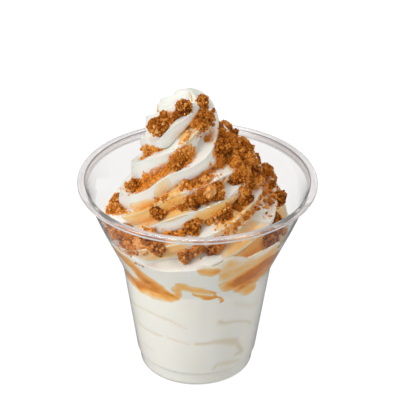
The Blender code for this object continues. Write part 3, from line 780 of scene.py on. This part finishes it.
# %% Drifts of crumbs
# Angle, ridges down, half angle, half width in ridges, slant, fine crumbs, coarse crumbs.
DRIFTS = [
    (231, -0.55, 30, 0.4, 0, 0.8, 2.2), (200, 0.62, 26, 0.34, 0, 1.9, 0.7),
    (248, 2.95, 16, 0.45, 0, 0.9, 0.25), (275, 2.85, 26, 0.26, 0, 1.6, 1.2),
    (340, 2.95, 26, 0.4, 0, 1.4, 1.8), (345, 4, 30, 0.35, 0, 1.4, 1.8),
    (290, 4.45, 22, 0.36, 0, 1.7, 0.8), (300, 5.08, 22, 0.34, 0, 1.5, 1.3),
    (322, 5.28, 16, 0.3, 0, 1, 1.1), (190, 3.72, 18, 0.4, 0, 0.9, 1.8),
    (226, 0.5, 10, 0.38, 0, 2.4, 0.2), (308, 0.28, 22, 0.32, 0, 0.9, 1.6),
    (306, 0.92, 34, 0.38, 0, 0.9, 1.6), (270, 1.42, 22, 0.55, 0, 3.4, 0.45),
    (225, 1.65, 36, 0.34, 0, 3.2, 0.1), (262, 1.78, 26, 0.18, 0, 1.2, 0.8),
    (180, 1.7, 22, 0.35, 0, 0.8, 0.9), (180, 2.85, 26, 0.24, 0, 1.1, 1.1),
    (232, 3, 9, 0.55, 0.03, 0.6, 0.5), (252, 3.45, 16, 0.5, 0, 1.2, 0.2),
    (280, 3.42, 25, 0.58, 0, 1.6, 1.6), (300, 2.6, 30, 0.3, 0, 1, 0.9),
    (330, 2.22, 28, 0.42, 0, 1.3, 1.6), (335, 3.25, 34, 0.36, 0, 1.4, 1.4),
    (300, 4.2, 14, 0.25, 0, 0.7, 0.4), (330, 4.22, 24, 0.4, 0, 1.3, 1.5),
    (366, 4.25, 30, 0.22, 0, 1.2, 1.3), (266, 4.5, 12, 0.32, 0, 0.7, 0.8),
    (308, 4.78, 26, 0.3, 0, 1.2, 1), (352, 4.85, 32, 0.32, 0, 1.2, 1.5),
    (357, 5.95, 30, 0.26, 0, 1.2, 1.5), (350, 3.85, 36, 0.5, 0, 0.8, 1.6),
    (376, 2.55, 26, 0.36, 0, 0.9, 1.5), (382, 3.4, 24, 0.4, 0, 0.9, 1.6),
    (384, 4.45, 24, 0.4, 0, 0.9, 1.6), (216, 4.18, 27, 0.34, 0, 1.2, 2),
    (234, 4.88, 22, 0.38, 0, 1.2, 2), (266, 5.38, 9, 0.3, 0, 0.8, 1.2),
    (283, 5.4, 9, 0.4, 0, 0.9, 1.5), (330, 6.8, 22, 0.3, 0, 0.9, 0.9),
    (232, 5.7, 14, 0.12, 0, 0.2, 0.5), (405, 5.2, 30, 0.4, 0, 1, 1), (420, 3.7, 34, 0.32, 0, 1.1, 1),
    (450, 4.7, 30, 0.28, 0, 1, 1.1), (480, 3.6, 30, 0.3, 0, 1, 0.8), (470, 5.65, 34, 0.3, 0, 1, 1.2),
    (400, 6.6, 40, 0.25, 0, 0.8, 1.2), (440, 2.7, 40, 0.28, 0, 0.9, 0.6),
    (400, 1.7, 34, 0.28, 0, 0.8, 0.5), (360, 1.8, 26, 0.28, 0, 0.9, 0.5),
    (440, 1.65, 34, 0.25, 0, 0.8, 0.4), (495, 6.55, 24, 0.25, 0, 0.8, 1.2),
    (505, 4.6, 20, 0.3, 0, 0.9, 1),
]
SPRINKLED, COUNTED, DENSEST, COARSE_DENSEST, LIP_SHARE = 0.007, 0.1, 2.2, 1.6, 0.3
PATCHY, PATCH_SIZE = 0.3, 3.5
CLEAN_FROM, CLEAN_TO, LIP_ABOVE, LIP_BELOW = 117.0, 119.5, 0.12, 0.1
patchy = PATCHY * noise_at(swirl_spots, PATCH_SIZE, 2)
below_tip = 1.0 - smoothstep(CLEAN_FROM, CLEAN_TO, swirl_spots[:, 2])
# Crumbs roll off a lip, so lips stay white.
past_lip = ridges_down % 1.0
off_lip = smoothstep(0.0, LIP_BELOW, past_lip) * (1.0 - smoothstep(1.0 - LIP_ABOVE, 1.0, past_lip))
# At the right they are piled so high that two of the lips are buried.
BURIED_ANGLES, BURIED_RIDGES = (312.0, 332.0, 395.0, 420.0), (1.9, 2.2, 4.8, 5.1)
buried = 1.0
for x, (begins, full, ebbs, ends) in ((flow_angle, BURIED_ANGLES), (ridges_down, BURIED_RIDGES)):
    buried = buried * smoothstep(begins, full, x) * (1.0 - smoothstep(ebbs, ends, x))
# So is the middle of one lip in front, under the largest heap.
HEAP_ANGLE, HEAP_SPREAD, HEAP_DOWN, HEAP_REACH = 272.0, 28.0, 2.95, 0.5
heap = hump(flow_angle - HEAP_ANGLE, HEAP_SPREAD) * hump(ridges_down - HEAP_DOWN, HEAP_REACH)
off_lip = np.maximum(np.maximum(off_lip, buried), heap)
fine_drift = np.clip(oval_field(DRIFTS, patchy), SPRINKLED, DENSEST)
fine_drift = fine_drift * below_tip * (LIP_SHARE + (1.0 - LIP_SHARE) * off_lip)
coarse_drift = np.clip(oval_field(DRIFTS, patchy, 1), 0.0, COARSE_DENSEST) * below_tip * off_lip
PIECES_SPREAD, PIECES_BURIED = 0.6, 1.2
piece_drift = coarse_drift * (PIECES_SPREAD + PIECES_BURIED * buried)
# Fine dust and melted sugar stain the ice cream between the crumbs.
FINE_DUST, DUST_FROM, COARSE_DUST = 0.45, 0.2, 0.5
dust = np.clip(FINE_DUST * np.maximum(fine_drift - DUST_FROM, 0.0) + COARSE_DUST * coarse_drift, 0.0, 1.0)
set_attribute(soft_serve.data, "dust", over_swirl(dust))
print("share under sauce:", round(float((pool > 0).mean()), 2))
print("share under crumbs:", round(float((fine_drift > COUNTED).mean()), 2))

# %% [markdown]
# ## Caramel sauce
# The sauce is a thick syrup: it lies on the ice cream as a skin, pools in the troughs and is
# pressed into smears against the wall. A skin is made from the grid below it. Outside a pool
# its surface sinks under the ice cream, so the visible edge is where the two surfaces cross,
# smooth and thin, as surface tension leaves it.

# %% Caramel sauce
# Cooked sugar and cream: glossy, and clear enough that a thin film looks like pale peach over
# the ice cream while a thick pool is amber. The depth of the skin drives the colour.
CLOUD, CLOUD_DEPTH, DIMPLE = 5.0, 0.24, 2.5
caramel, tree, shader, place = new_material("caramel_sauce")
thickness = add(tree, "ShaderNodeAttribute", attribute_name="depth").outputs["Fac"]
cloud = add(tree, "ShaderNodeTexNoise", {"Vector": place, "Scale": per_mm(CLOUD), "Detail": 3.0})
varied = add(tree, "ShaderNodeMath", {0: cloud, 1: CLOUD_DEPTH, 2: thickness}, operation="MULTIPLY_ADD")
varied = add(tree, "ShaderNodeMath", {0: varied, 1: CLOUD_DEPTH / 2}, operation="SUBTRACT")
CARAMEL_STOPS = [
    (0.0, "#FBF1DE"), (0.2, "#FDE0B6"), (0.4, "#FFCC84"), (0.6, "#FDB658"), (0.8, "#EA9024"),
    (1.0, "#B05A00"),
]
amber = set_stops(add(tree, "ShaderNodeValToRGB", {0: varied}), CARAMEL_STOPS)
dimples = add(tree, "ShaderNodeTexNoise", {"Vector": place, "Scale": per_mm(DIMPLE), "Detail": 1.0})
bump = add(tree, "ShaderNodeBump", {"Strength": 0.2, "Distance": 0.3 * MM, "Height": dimples})
connect(shader, {
    "Base Color": amber, "Roughness": 0.12, "IOR": 1.48, "Coat Weight": 0.4, "Coat Roughness": 0.05,
    "Subsurface Weight": 0.35, "Subsurface Radius": (1.0, 0.5, 0.2), "Subsurface Scale": 1.6 * MM,
    "Normal": bump,
})


# %% A skin from a grid
def skin(name, top, bottom, rows, columns, keep, wrap, depth):
    """A closed skin of sauce between two grids of points, over the squares that have a kept
    corner. The depth of each point drives its colour."""
    ends = columns if wrap else columns - 1
    i, j = (a.ravel() for a in np.meshgrid(np.arange(rows - 1), np.arange(ends), indexing="ij"))
    here, after = i * columns + j, i * columns + (j + 1) % columns
    quads = np.stack([here, after, after + columns, here + columns], -1)
    quads = quads[keep[quads].any(axis=1)]
    used, packed = np.unique(quads, return_inverse=True)
    packed = packed.reshape(quads.shape)
    edges = np.concatenate([packed[:, [k, (k + 1) % 4]] for k in range(4)])
    count = len(used)
    keys, back = edges[:, 0] * count + edges[:, 1], edges[:, 1] * count + edges[:, 0]
    rim = edges[~np.isin(keys, back)]
    sides = np.stack([rim[:, 1], rim[:, 0], rim[:, 0] + count, rim[:, 1] + count], -1)
    faces = np.concatenate([packed, packed[:, ::-1] + count, sides])
    both = np.concatenate([top[used], bottom[used]])
    return make_object(name, both, faces, caramel, {"depth": np.tile(depth[used], 2)})


# %% Sauce on the swirl
SAUCE_DEPTH, SAUCE_SINK, SAUCE_ROOT, SAUCE_SPREAD, SAUCE_MOST = 0.75, 0.5, 0.8, 0.25, 1.2
LEVELLING, LEVEL_RISE, LEVEL_MOST = 24, 2.0, 0.7
# How deep the colour is at the edge of a pool, and how much deeper in its middle.
SAUCE_PALEST, SAUCE_DEEPENS, DEEPENS_POWER = 0.08, 0.47, 0.7
rise = SAUCE_DEPTH * np.sqrt(np.clip(pool, 0, SAUCE_MOST))
lift = np.where(pool > 0, rise, SAUCE_SINK * np.clip(pool, -1, 0))
sauce_top = (swirl_spots + normals * lift[:, None]).reshape(SWIRL_ROWS, COLUMNS, 3)
weight = np.clip(pool * LEVEL_RISE, 0.0, LEVEL_MOST).reshape(SWIRL_ROWS, COLUMNS, 1)
row_below = np.maximum(np.arange(SWIRL_ROWS) - 1, 0)
row_above = np.minimum(np.arange(SWIRL_ROWS) + 1, SWIRL_ROWS - 1)
for _ in range(LEVELLING):
    beside = np.roll(sauce_top, 1, 1) + np.roll(sauce_top, -1, 1)
    above = sauce_top[row_below] + sauce_top[row_above]
    sauce_top = sauce_top + ((beside + above) / 4 - sauce_top) * weight
# Levelling fills the troughs but bares the lips, so a film is kept over them.
FILM, FILM_FROM, OVER_FOOD = 0.2, 0.3, 0.1
sauce_top = sauce_top.reshape(-1, 3)
thick = ((sauce_top - swirl_spots) * normals).sum(axis=1)
short = np.maximum(FILM * smoothstep(0.0, FILM_FROM, pool) - thick, 0.0)
sauce_top = sauce_top + normals * np.where(pool > 0, short, 0.0)[:, None]
sauce_top = inside_wall(sauce_top, -INTO_WALL - OVER_FOOD)
depth = SAUCE_PALEST + SAUCE_DEEPENS * np.clip(pool, 0.0, SAUCE_MOST) ** DEEPENS_POWER
sauce = skin(
    "caramel_on_swirl", sauce_top, swirl_spots - normals * SAUCE_ROOT, SWIRL_ROWS, COLUMNS,
    pool > -SAUCE_SPREAD, True, depth,
)

# %% Sauce against the wall
# Strokes as before: a strength and (angle, height, half width). Each list is one CAD node's.
SMEARS = {
    "caramel_left": [
        (0.85, [(-180, 44, 2.4), (-170, 46.5, 3.2), (-160, 48.2, 4), (-150, 48.6, 4.8), (-141, 47.4, 4.2),
                (-130, 48.4, 4.6), (-120, 48.4, 4.4), (-112, 47.4, 3.2), (-105, 47.6, 1.8)]),
        (1, [(-165, 60.5, 1.8), (-155, 61.8, 2.4), (-145, 61.4, 3), (-138, 60, 4.4), (-133, 57.2, 4.4),
               (-127, 53, 4.8), (-120, 51.2, 4.6), (-115, 49.6, 3), (-108, 48.4, 1.6)]),
        (0.3, [(-136, 44.8, 1.6), (-122, 45, 1.8), (-110, 45.2, 1.2)]),
    ],
    "caramel_middle": [
        (0.58, [(-104.5, 49.6, 1.2), (-104, 53.2, 2.2), (-100, 55.2, 2.5), (-95, 54.4, 2.4),
                (-89, 53.2, 2.3), (-84, 52.2, 1.9), (-79, 51.2, 1.2), (-76, 50.8, 0.6)]),
        (0.95, [(-93, 51, 0.7), (-89, 49.9, 1.2), (-84, 48.7, 1.7), (-79, 48.3, 1.4), (-75, 48.3, 0.8)]),
        (0.85, [(-80, 52.2, 0.6), (-77, 50.2, 0.7), (-74, 48.2, 0.7), (-71, 46.6, 0.6), (-69.8, 45.2, 0.6),
                (-72, 45, 0.5), (-73.5, 46.8, 0.5)]),
        (0.75, [(-89.5, 66, 0.6), (-86, 65.4, 2.2), (-82, 64.4, 2.9), (-78.5, 65, 2.2), (-76, 65.6, 0.6)]),
    ],
    "caramel_right": [
        (1, [(-6, 49, 2.4), (-15, 54, 3.2), (-25, 58, 4.2), (-35, 60.2, 5), (-45, 59.8, 5.6),
               (-53, 57.6, 6.4), (-60, 56.4, 6.2), (-66, 55, 4.6)]),
        (0.7, [(-16, 51.5, 3), (-28, 54, 4.8), (-38, 54.2, 5), (-48, 52.5, 5.2), (-57, 50.5, 3.2)]),
        (0.6, [(-54, 51, 4), (-50, 48.6, 4.2), (-46, 46.8, 3.4), (-42, 46.2, 2.4)]),
        (0.4, [(-73, 60.5, 2.8), (-71, 63, 4.2), (-69, 66, 4.2), (-70, 69, 2.6)]),
        (0.4, [(-70, 61.5, 4.2), (-61, 63.5, 4.6), (-50, 65.5, 3.6), (-40, 67, 2.6)]),
    ],
}
# Slivers of ice cream that part the sauce.
PARTINGS = {
    "caramel_left": [(1, [(-164, 55.5, 3.6), (-154, 55.6, 3.2), (-147, 54.4, 2.6), (-142, 52.2, 1.5)])],
    "caramel_middle": [],
    "caramel_right": [],
}
# Where the sauce is thickest, and so darkest.
CORES = {
    "caramel_left": [(0.5, [(-158, 47, 3.6), (-142, 46.8, 4), (-131, 51, 4), (-121, 49.2, 3)])],
    "caramel_middle": [],
    "caramel_right": [
        (0.9, [(-14, 56, 4.6), (-24, 60, 7), (-36, 61, 9.6), (-46, 57.5, 9.4),
               (-54, 55, 8), (-59, 54.6, 5)]),
    ],
}
SMEAR_DEEPEST, SMEAR_POWER, SMEAR_CORE, SMEAR_DARKEST = 0.76, 0.8, 0.3, 0.9
SMEAR_RISE, SMEAR_EDGE, SMEAR_BACK, SMEAR_BULGE, SMEAR_SPREAD, SMEAR_MOST = 0.2, 0.1, 0.35, 1.1, 0.3, 1.4
STEP_DEGREES, STEP_MM, MARGIN_DEGREES, MARGIN_MM = 0.55, 0.33, 8, 2
# Its edge wavers up and down and sideways, and its colour is drawn out in streaks.
WAVER_UP, WAVER_UP_SIZE, WAVER_SIDE, WAVER_SIDE_SIZE = 0.5, 3.0, 2.5, 4.0
STREAKS, STREAK_SIZE, STREAK_STRETCH, CORE_WAVER = 0.13, 4.0, (1.0, 1.0, 1.6), 0.6
SMEAR_RADIUS, OTHER_NOISE, PARTING_CUT = 30, 40.0, 2.0
smear_pieces = {}
for label, strokes in SMEARS.items():
    path = np.array([spot for _, stroke in strokes for spot in stroke])
    low, high = (path[:, 1] - path[:, 2]).min() - MARGIN_MM, (path[:, 1] + path[:, 2]).max() + MARGIN_MM
    left, right = path[:, 0].min() - MARGIN_DEGREES, path[:, 0].max() + MARGIN_DEGREES
    columns, rows = np.arange(left, right, STEP_DEGREES), np.arange(low, high, STEP_MM)
    height, angle = (a.ravel() for a in np.meshgrid(rows, columns, indexing="ij"))
    flat = ring_points(SMEAR_RADIUS, angle, height)
    shift = WAVER_UP * noise_at(flat, WAVER_UP_SIZE, 3)
    sideways = WAVER_SIDE * noise_at(flat + OTHER_NOISE, WAVER_SIDE_SIZE, 2)
    field = stroke_field(angle + sideways, height + shift, strokes)
    parting = np.clip(stroke_field(angle, height + shift, PARTINGS.get(label, [])), 0.0, 1.0)
    field = np.clip(field - PARTING_CUT * parting, FAR_OUTSIDE, SMEAR_MOST)
    front = inner_radius(height) + INTO_WALL + SMEAR_RISE * (np.clip(field, -2.0, 1.0) - SMEAR_EDGE)
    behind = inner_radius(height) - SMEAR_BACK - SMEAR_BULGE * np.sqrt(np.clip(field, 0.0, 1.0))
    core = smoothstep(0.0, 1.0, stroke_field(angle, height + CORE_WAVER * shift, CORES.get(label, [])))
    streaks = STREAKS * noise_at(flat * STREAK_STRETCH, STREAK_SIZE, 3)
    depth = SMEAR_DEEPEST * np.clip(field, 0.0, SMEAR_MOST) ** SMEAR_POWER + SMEAR_CORE * core + streaks
    smear_pieces[label] = skin(
        f"{label}_smear", ring_points(front, angle, height), ring_points(behind, angle, height),
        len(rows), len(columns), field > -SMEAR_SPREAD, False, np.clip(depth, 0.0, SMEAR_DARKEST),
    )

# %% [markdown]
# ## Broken biscuit
# The large pieces are lumps of a crumbly, brown sugar biscuit. Each CAD lump is a hull with
# flat faces, and its form is kept: a copy of it is merged, cut fine and rounded, and then its
# skin is broken up into grains, because such a biscuit breaks between its crumbs of dough.

# %% Grains of dough
GRAIN, GRAIN_RELIEF, GRAIN_STEP, GRAIN_LEVEL = 0.85, 0.42, 0.55, 0.45
GRAIN_EDGE, GRAIN_ROUND, GRAIN_DRAW, OWN_SPREAD, OWN_FROM = 0.8, 1.5, 7.13, 1.6, 0.3
CRAG, CRAG_RELIEF = 3.0, 0.9
LUMP_CUTS, LUMP_ROUNDING, LUMP_GROWTH, LUMP_APART = 8, 2, 0.3, (31.0, 17.0, 0.0)


def grain_at(spot):
    """Height of the grain at this spot from 0 to 1, and a number that is its own."""
    distances, centres = noise.voronoi(spot)
    own = 0.5 + 0.5 * noise.noise(centres[0] * GRAIN_DRAW)
    level = max(0.0, 1.0 - (distances[0] / GRAIN_EDGE) ** GRAIN_ROUND)
    return level, min(max(own * OWN_SPREAD - OWN_FROM, 0.0), 1.0)


def crumbled_lump(bm, source, index):
    """Adds to bm a copy of the CAD lump, cut fine and broken into grains."""
    lump = bmesh.new()
    lump.from_mesh(source)
    bmesh.ops.remove_doubles(lump, verts=lump.verts[:], dist=DOUBLES * MM)
    bmesh.ops.subdivide_edges(lump, edges=lump.edges[:], cuts=LUMP_CUTS, use_grid_fill=True)
    for _ in range(LUMP_ROUNDING):
        bmesh.ops.smooth_vert(
            lump, verts=lump.verts[:], factor=0.5, use_axis_x=True, use_axis_y=True, use_axis_z=True
        )
    lump.normal_update()
    grain = lump.verts.layers.float.new("grain")
    crevice_shade_mask = lump.verts.layers.float.new("crevice_shade_mask")
    moved = []
    for vert in lump.verts:
        spot = vert.co / MM + Vector(LUMP_APART) * index
        level, own = grain_at(spot / GRAIN)
        crag = noise.noise(spot / CRAG) + 0.5 * noise.noise(spot * 2 / CRAG)
        push = GRAIN_RELIEF * (level - GRAIN_LEVEL) + GRAIN_STEP * (own - 0.5) + CRAG_RELIEF * crag
        moved.append(vert.co + vert.normal * (push + LUMP_GROWTH) * MM)
        vert[grain], vert[crevice_shade_mask] = own, 1.0 - level
    for vert, spot in zip(lump.verts, moved):
        vert.co = spot
    mesh = bpy.data.meshes.new("lump")
    lump.to_mesh(mesh)
    lump.free()
    bm.from_mesh(mesh)
    bpy.data.meshes.remove(mesh)


# %% Baked brown sugar biscuit
# Matt and dry, with painted shade between the grains and lighter where a grain was broken through,
# with the odd sparkle of a sugar crystal.
BISCUIT_STOPS = [(0.0, "#4A240A"), (0.3, "#8E4A10"), (0.6, "#C27220"), (0.85, "#EA9C42"), (1.0, "#FAC684")]
# The loose crumbs' stops are paler and brighter: partly their own golden colour, partly painted light for
# the glow of light that passes through them and bounces off the white ice cream and sauce.
CRUMB_TONE_AND_PAINTED_GLOW_STOPS = [(0.0, "#C05C06"), (0.3, "#EC8818"), (0.65, "#FFAA34"), (1.0, "#FFC874")]
SPECK, BROWNED_PATCH, CRYSTAL, ROUGH_GRAIN = 0.9, 8.0, 1.4, 0.45
PAINTED_CREVICE_SHADE, PALER, BROWNING, RIGHT_DARKENING, DARKENING_REACH = -0.6, 0.18, 0.75, 0.08, 30.0


def biscuit_material(name, stops):
    material, tree, shader, place = new_material(name)
    own = add(tree, "ShaderNodeAttribute", attribute_name="grain").outputs["Fac"]
    hollow_for_shade = add(tree, "ShaderNodeAttribute", attribute_name="crevice_shade_mask").outputs["Fac"]
    speck = add(tree, "ShaderNodeTexNoise", {"Vector": place, "Scale": per_mm(SPECK), "Detail": 4.0})
    tone = add(tree, "ShaderNodeMath", {0: speck, 1: own}, operation="ADD")
    tone = add(tree, "ShaderNodeMath", {0: tone, 1: 0.5}, operation="MULTIPLY")
    # The hollows between the grains are painted darker: painted shade.
    tone = add(tree, "ShaderNodeMath", {0: hollow_for_shade, 1: PAINTED_CREVICE_SHADE, 2: tone}, operation="MULTIPLY_ADD")
    # One lump was baked darker than another.
    baked = add(tree, "ShaderNodeTexNoise", {"Vector": place, "Scale": per_mm(BROWNED_PATCH), "Detail": 1.0})
    tone = add(tree, "ShaderNodeMath", {0: baked, 1: BROWNING, 2: tone}, operation="MULTIPLY_ADD")
    tone = add(tree, "ShaderNodeMath", {0: tone, 1: PALER - BROWNING / 2}, operation="ADD")
    # The pieces are lighter towards the left and darker towards the right.
    side = add(tree, "ShaderNodeSeparateXYZ", {0: place}).outputs["X"]
    darker_to_right = add(tree, "ShaderNodeMapRange", {
        "Value": side, "From Min": -DARKENING_REACH * MM, "From Max": DARKENING_REACH * MM,
        "To Min": RIGHT_DARKENING, "To Max": -RIGHT_DARKENING,
    })
    tone = add(tree, "ShaderNodeMath", {0: tone, 1: darker_to_right}, operation="ADD")
    toasted = set_stops(add(tree, "ShaderNodeValToRGB", {0: tone}), stops)
    sparkle = add(tree, "ShaderNodeTexVoronoi", {"Vector": place, "Scale": per_mm(CRYSTAL)})
    gloss = add(tree, "ShaderNodeMapRange", {
        "Value": sparkle, "From Min": 0.1, "From Max": 0.3, "To Min": 0.3, "To Max": 0.85,
    })
    rough = add(tree, "ShaderNodeTexNoise", {"Vector": place, "Scale": per_mm(ROUGH_GRAIN), "Detail": 3.0})
    bump = add(tree, "ShaderNodeBump", {"Strength": 0.7, "Distance": 0.2 * MM, "Height": rough})
    connect(shader, {
        "Base Color": toasted, "Roughness": gloss, "Specular IOR Level": 0.15, "Normal": bump,
    })
    return material


baked_biscuit = biscuit_material("baked_brown_sugar_biscuit", BISCUIT_STOPS)
loose_crumbs_with_painted_glow = biscuit_material("loose_biscuit_crumbs", CRUMB_TONE_AND_PAINTED_GLOW_STOPS)

# %% Make the lumps
lump_names = sorted(name for name in frame["nodes"] if name.startswith("biscuit_"))
bm = bmesh.new()
for index, name in enumerate(lump_names):
    crumbled_lump(bm, frame["nodes"][name].data, index)
lump_mesh = bpy.data.meshes.new("biscuit_lumps")
bm.to_mesh(lump_mesh)
bm.free()
lump_mesh.materials.clear()
lump_mesh.materials.append(baked_biscuit)
lump_mesh.polygons.foreach_set("material_index", [0] * len(lump_mesh.polygons))
lump_mesh.shade_flat()
lumps = in_scene("biscuit_lumps", lump_mesh)
print(len(lump_names), "lumps of biscuit")

# %% [markdown]
# ## Crumbs
# Thousands of crumbs are too many to place by hand and all of them follow one rule: they lie
# where the drifts are, turned any way, with many more small ones than large. That is work for
# Geometry Nodes. The tree strews points over the swirl as densely as an attribute says, puts
# one of a few crumb shapes on each, and makes the result one real mesh.

# %% Crumb shapes
NOTCH_DEPTH, NOTCHES, FINE_NOTCHES, SHAPES_APART = 0.55, 3.4, 2.3, 13.0
WIDTHS, HEIGHTS = (0.7, 1.0), (0.6, 0.9)


def crumb_shape(name, seed, detail):
    """A broken crumb 1 mm across: a squashed ball whose surface is pushed in and out."""
    draw = random.Random(seed)
    squash = Vector((1.0, draw.uniform(*WIDTHS), draw.uniform(*HEIGHTS)))
    bm = bmesh.new()
    bmesh.ops.create_icosphere(bm, subdivisions=detail, radius=0.5)
    for vert in bm.verts:
        spot = vert.co * NOTCHES + Vector((seed * SHAPES_APART, 0.0, 0.0))
        vert.co *= 1.0 + NOTCH_DEPTH * (noise.noise(spot) + 0.5 * noise.noise(spot * FINE_NOTCHES))
        vert.co = Vector(a * b for a, b in zip(vert.co, squash)) * MM
    mesh = bpy.data.meshes.new(name)
    bm.to_mesh(mesh)
    bm.free()
    return bpy.data.objects.new(name, mesh)


# %% The strewing tree
# Each random choice has a salt, so that no two of them draw the same numbers.
SIZE_SALT, PILE_SALT, TURN_SALT, GRAIN_SALT = 1.0, 2.0, 3.0, 4.0
MOSTLY_SMALL = 3.0


def strewing_tree(name, kinds, material):
    """Crumbs from the collection kinds, as dense as the bed's share says."""
    sizes = dict.fromkeys(("Per square metre", "Smallest", "Largest", "Pile"), "Float")
    tree, given = new_group(name, {**sizes, "Seed": "Int"})
    share = add(tree, "GeometryNodeInputNamedAttribute", {"Name": "share"}, data_type="FLOAT").outputs[0]
    density = add(tree, "ShaderNodeMath", {0: share, 1: given["Per square metre"]}, operation="MULTIPLY")
    strewn = add(tree, "GeometryNodeDistributePointsOnFaces", {
        "Mesh": given["Mesh"], "Density": density, "Seed": given["Seed"],
    })

    def random_value(salt, minimum=0.0, maximum=1.0, kind="FLOAT"):
        salted = add(tree, "ShaderNodeMath", {0: given["Seed"], 1: salt}, operation="ADD")
        inputs = {"Min": minimum, "Max": maximum, "Seed": salted}
        return add(tree, "FunctionNodeRandomValue", inputs, data_type=kind)

    # A power of an even random number is mostly small, as crumbs are.
    even = random_value(SIZE_SALT)
    small = add(tree, "ShaderNodeMath", {0: even, 1: MOSTLY_SMALL}, operation="POWER")
    size = add(tree, "ShaderNodeMapRange", {
        "Value": small, "To Min": given["Smallest"], "To Max": given["Largest"],
    })
    level = random_value(PILE_SALT)
    height = add(tree, "ShaderNodeMath", {0: level, 1: given["Pile"]}, operation="MULTIPLY")
    height = add(tree, "ShaderNodeMath", {0: height, 1: share}, operation="MULTIPLY")
    offset = add(tree, "ShaderNodeVectorMath", {
        0: strewn.outputs["Normal"], "Scale": height,
    }, operation="SCALE")
    lifted = add(tree, "GeometryNodeSetPosition", {0: strewn.outputs["Points"], "Offset": offset})
    shapes = add(tree, "GeometryNodeCollectionInfo", {
        "Collection": kinds, "Separate Children": True, "Reset Children": True,
    })
    turned = random_value(TURN_SALT, (0.0,) * 3, (2 * math.pi,) * 3, "FLOAT_VECTOR")
    placed = add(tree, "GeometryNodeInstanceOnPoints", {
        "Points": lifted, "Instance": shapes, "Pick Instance": True, "Rotation": turned, "Scale": size,
    })
    own = add(tree, "GeometryNodeStoreNamedAttribute", {
        0: placed, "Name": "grain", "Value": random_value(GRAIN_SALT),
    }, data_type="FLOAT", domain="INSTANCE")
    finish_group(tree, own, material, False)
    return tree


# %% What the crumbs are strewn on
def crumb_bed(name, spots, faces, shares):
    """A mesh for the tree, with how thickly each point is covered."""
    bed = bpy.data.meshes.new(name)
    bed.from_pydata(spots.tolist(), [], faces)
    set_attribute(bed, "share", shares)
    return bed


def joined(meshes):
    """The points and faces of these meshes together, all of them to be covered evenly."""
    spots, faces = np.zeros((0, 3)), []
    for mesh in meshes:
        faces += [[i + len(spots) for i in face.vertices] for face in mesh.polygons]
        spots = np.concatenate([spots, point_rows(mesh, "co")])
    return spots, faces, np.ones(len(spots))


swirl_faces = ring_faces(SWIRL_ROWS, COLUMNS).tolist()

# %% Strew the crumbs
# Name, share, kinds, detail, per square metre, sizes in mm, pile in mm, seed, material. The
# grains stick all over the lumps, and the others lie on the swirl.
CRUMBS = [
    ("broken_pieces", piece_drift, 8, 3, 0.05e6, 3.2, 6.4, 1.4, 11, baked_biscuit),
    ("grains_on_lumps", None, 8, 1, 0.62e6, 0.5, 1.7, 0.25, 3, baked_biscuit),
    ("coarse_crumbs", coarse_drift, 8, 2, 0.44e6, 0.9, 2.4, 1.5, 7, baked_biscuit),
    ("fine_crumbs", fine_drift, 5, 1, 2.5e6, 0.35, 1.2, 0.6, 5, loose_crumbs_with_painted_glow),
]
crumb_pieces = []
for label, share, count, detail, density, smallest, largest, pile, seed, material in CRUMBS:
    kinds = bpy.data.collections.new(f"{label}_kind")
    bpy.context.scene.collection.children.link(kinds)
    for kind in range(count):
        kinds.objects.link(crumb_shape(f"{label}_kind_{kind}", kind, detail))
    tree = strewing_tree(label, kinds, material)
    if share is None:
        bed = crumb_bed(f"{label}_bed", *joined([lump_mesh, crumb_pieces[0].data]))
    else:
        bed = crumb_bed(f"{label}_bed", swirl_spots * MM, swirl_faces, share)
    sizes = {"Smallest": smallest, "Largest": largest, "Pile": pile * MM}
    piece = run_tree(label, bed, tree, {"Per square metre": density, "Seed": seed, **sizes})
    for shape in list(kinds.objects):
        bpy.data.objects.remove(shape, do_unlink=True)
    bpy.data.collections.remove(kinds)
    # Crumbs beside the wall lie against it.
    spots = inside_wall(point_rows(piece.data, "co") / MM, -INTO_WALL) * MM
    piece.data.vertices.foreach_set("co", spots.ravel())
    crumb_pieces.append(piece)
    print(label, len(spots), "points")

# %% [markdown]
# ## Hand over to the frame
# Every piece rides on the sundae's one body, and the CAD nodes that it stands for are hidden.

# %% Ride and hide the CAD nodes
finish_piece(cup, ["cup"])
finish_piece(soft_serve, ["soft_serve"])
finish_piece(sauce)
for label, piece in smear_pieces.items():
    finish_piece(piece, [label])
finish_piece(lumps, lump_names)
for piece in crumb_pieces:
    finish_piece(piece)
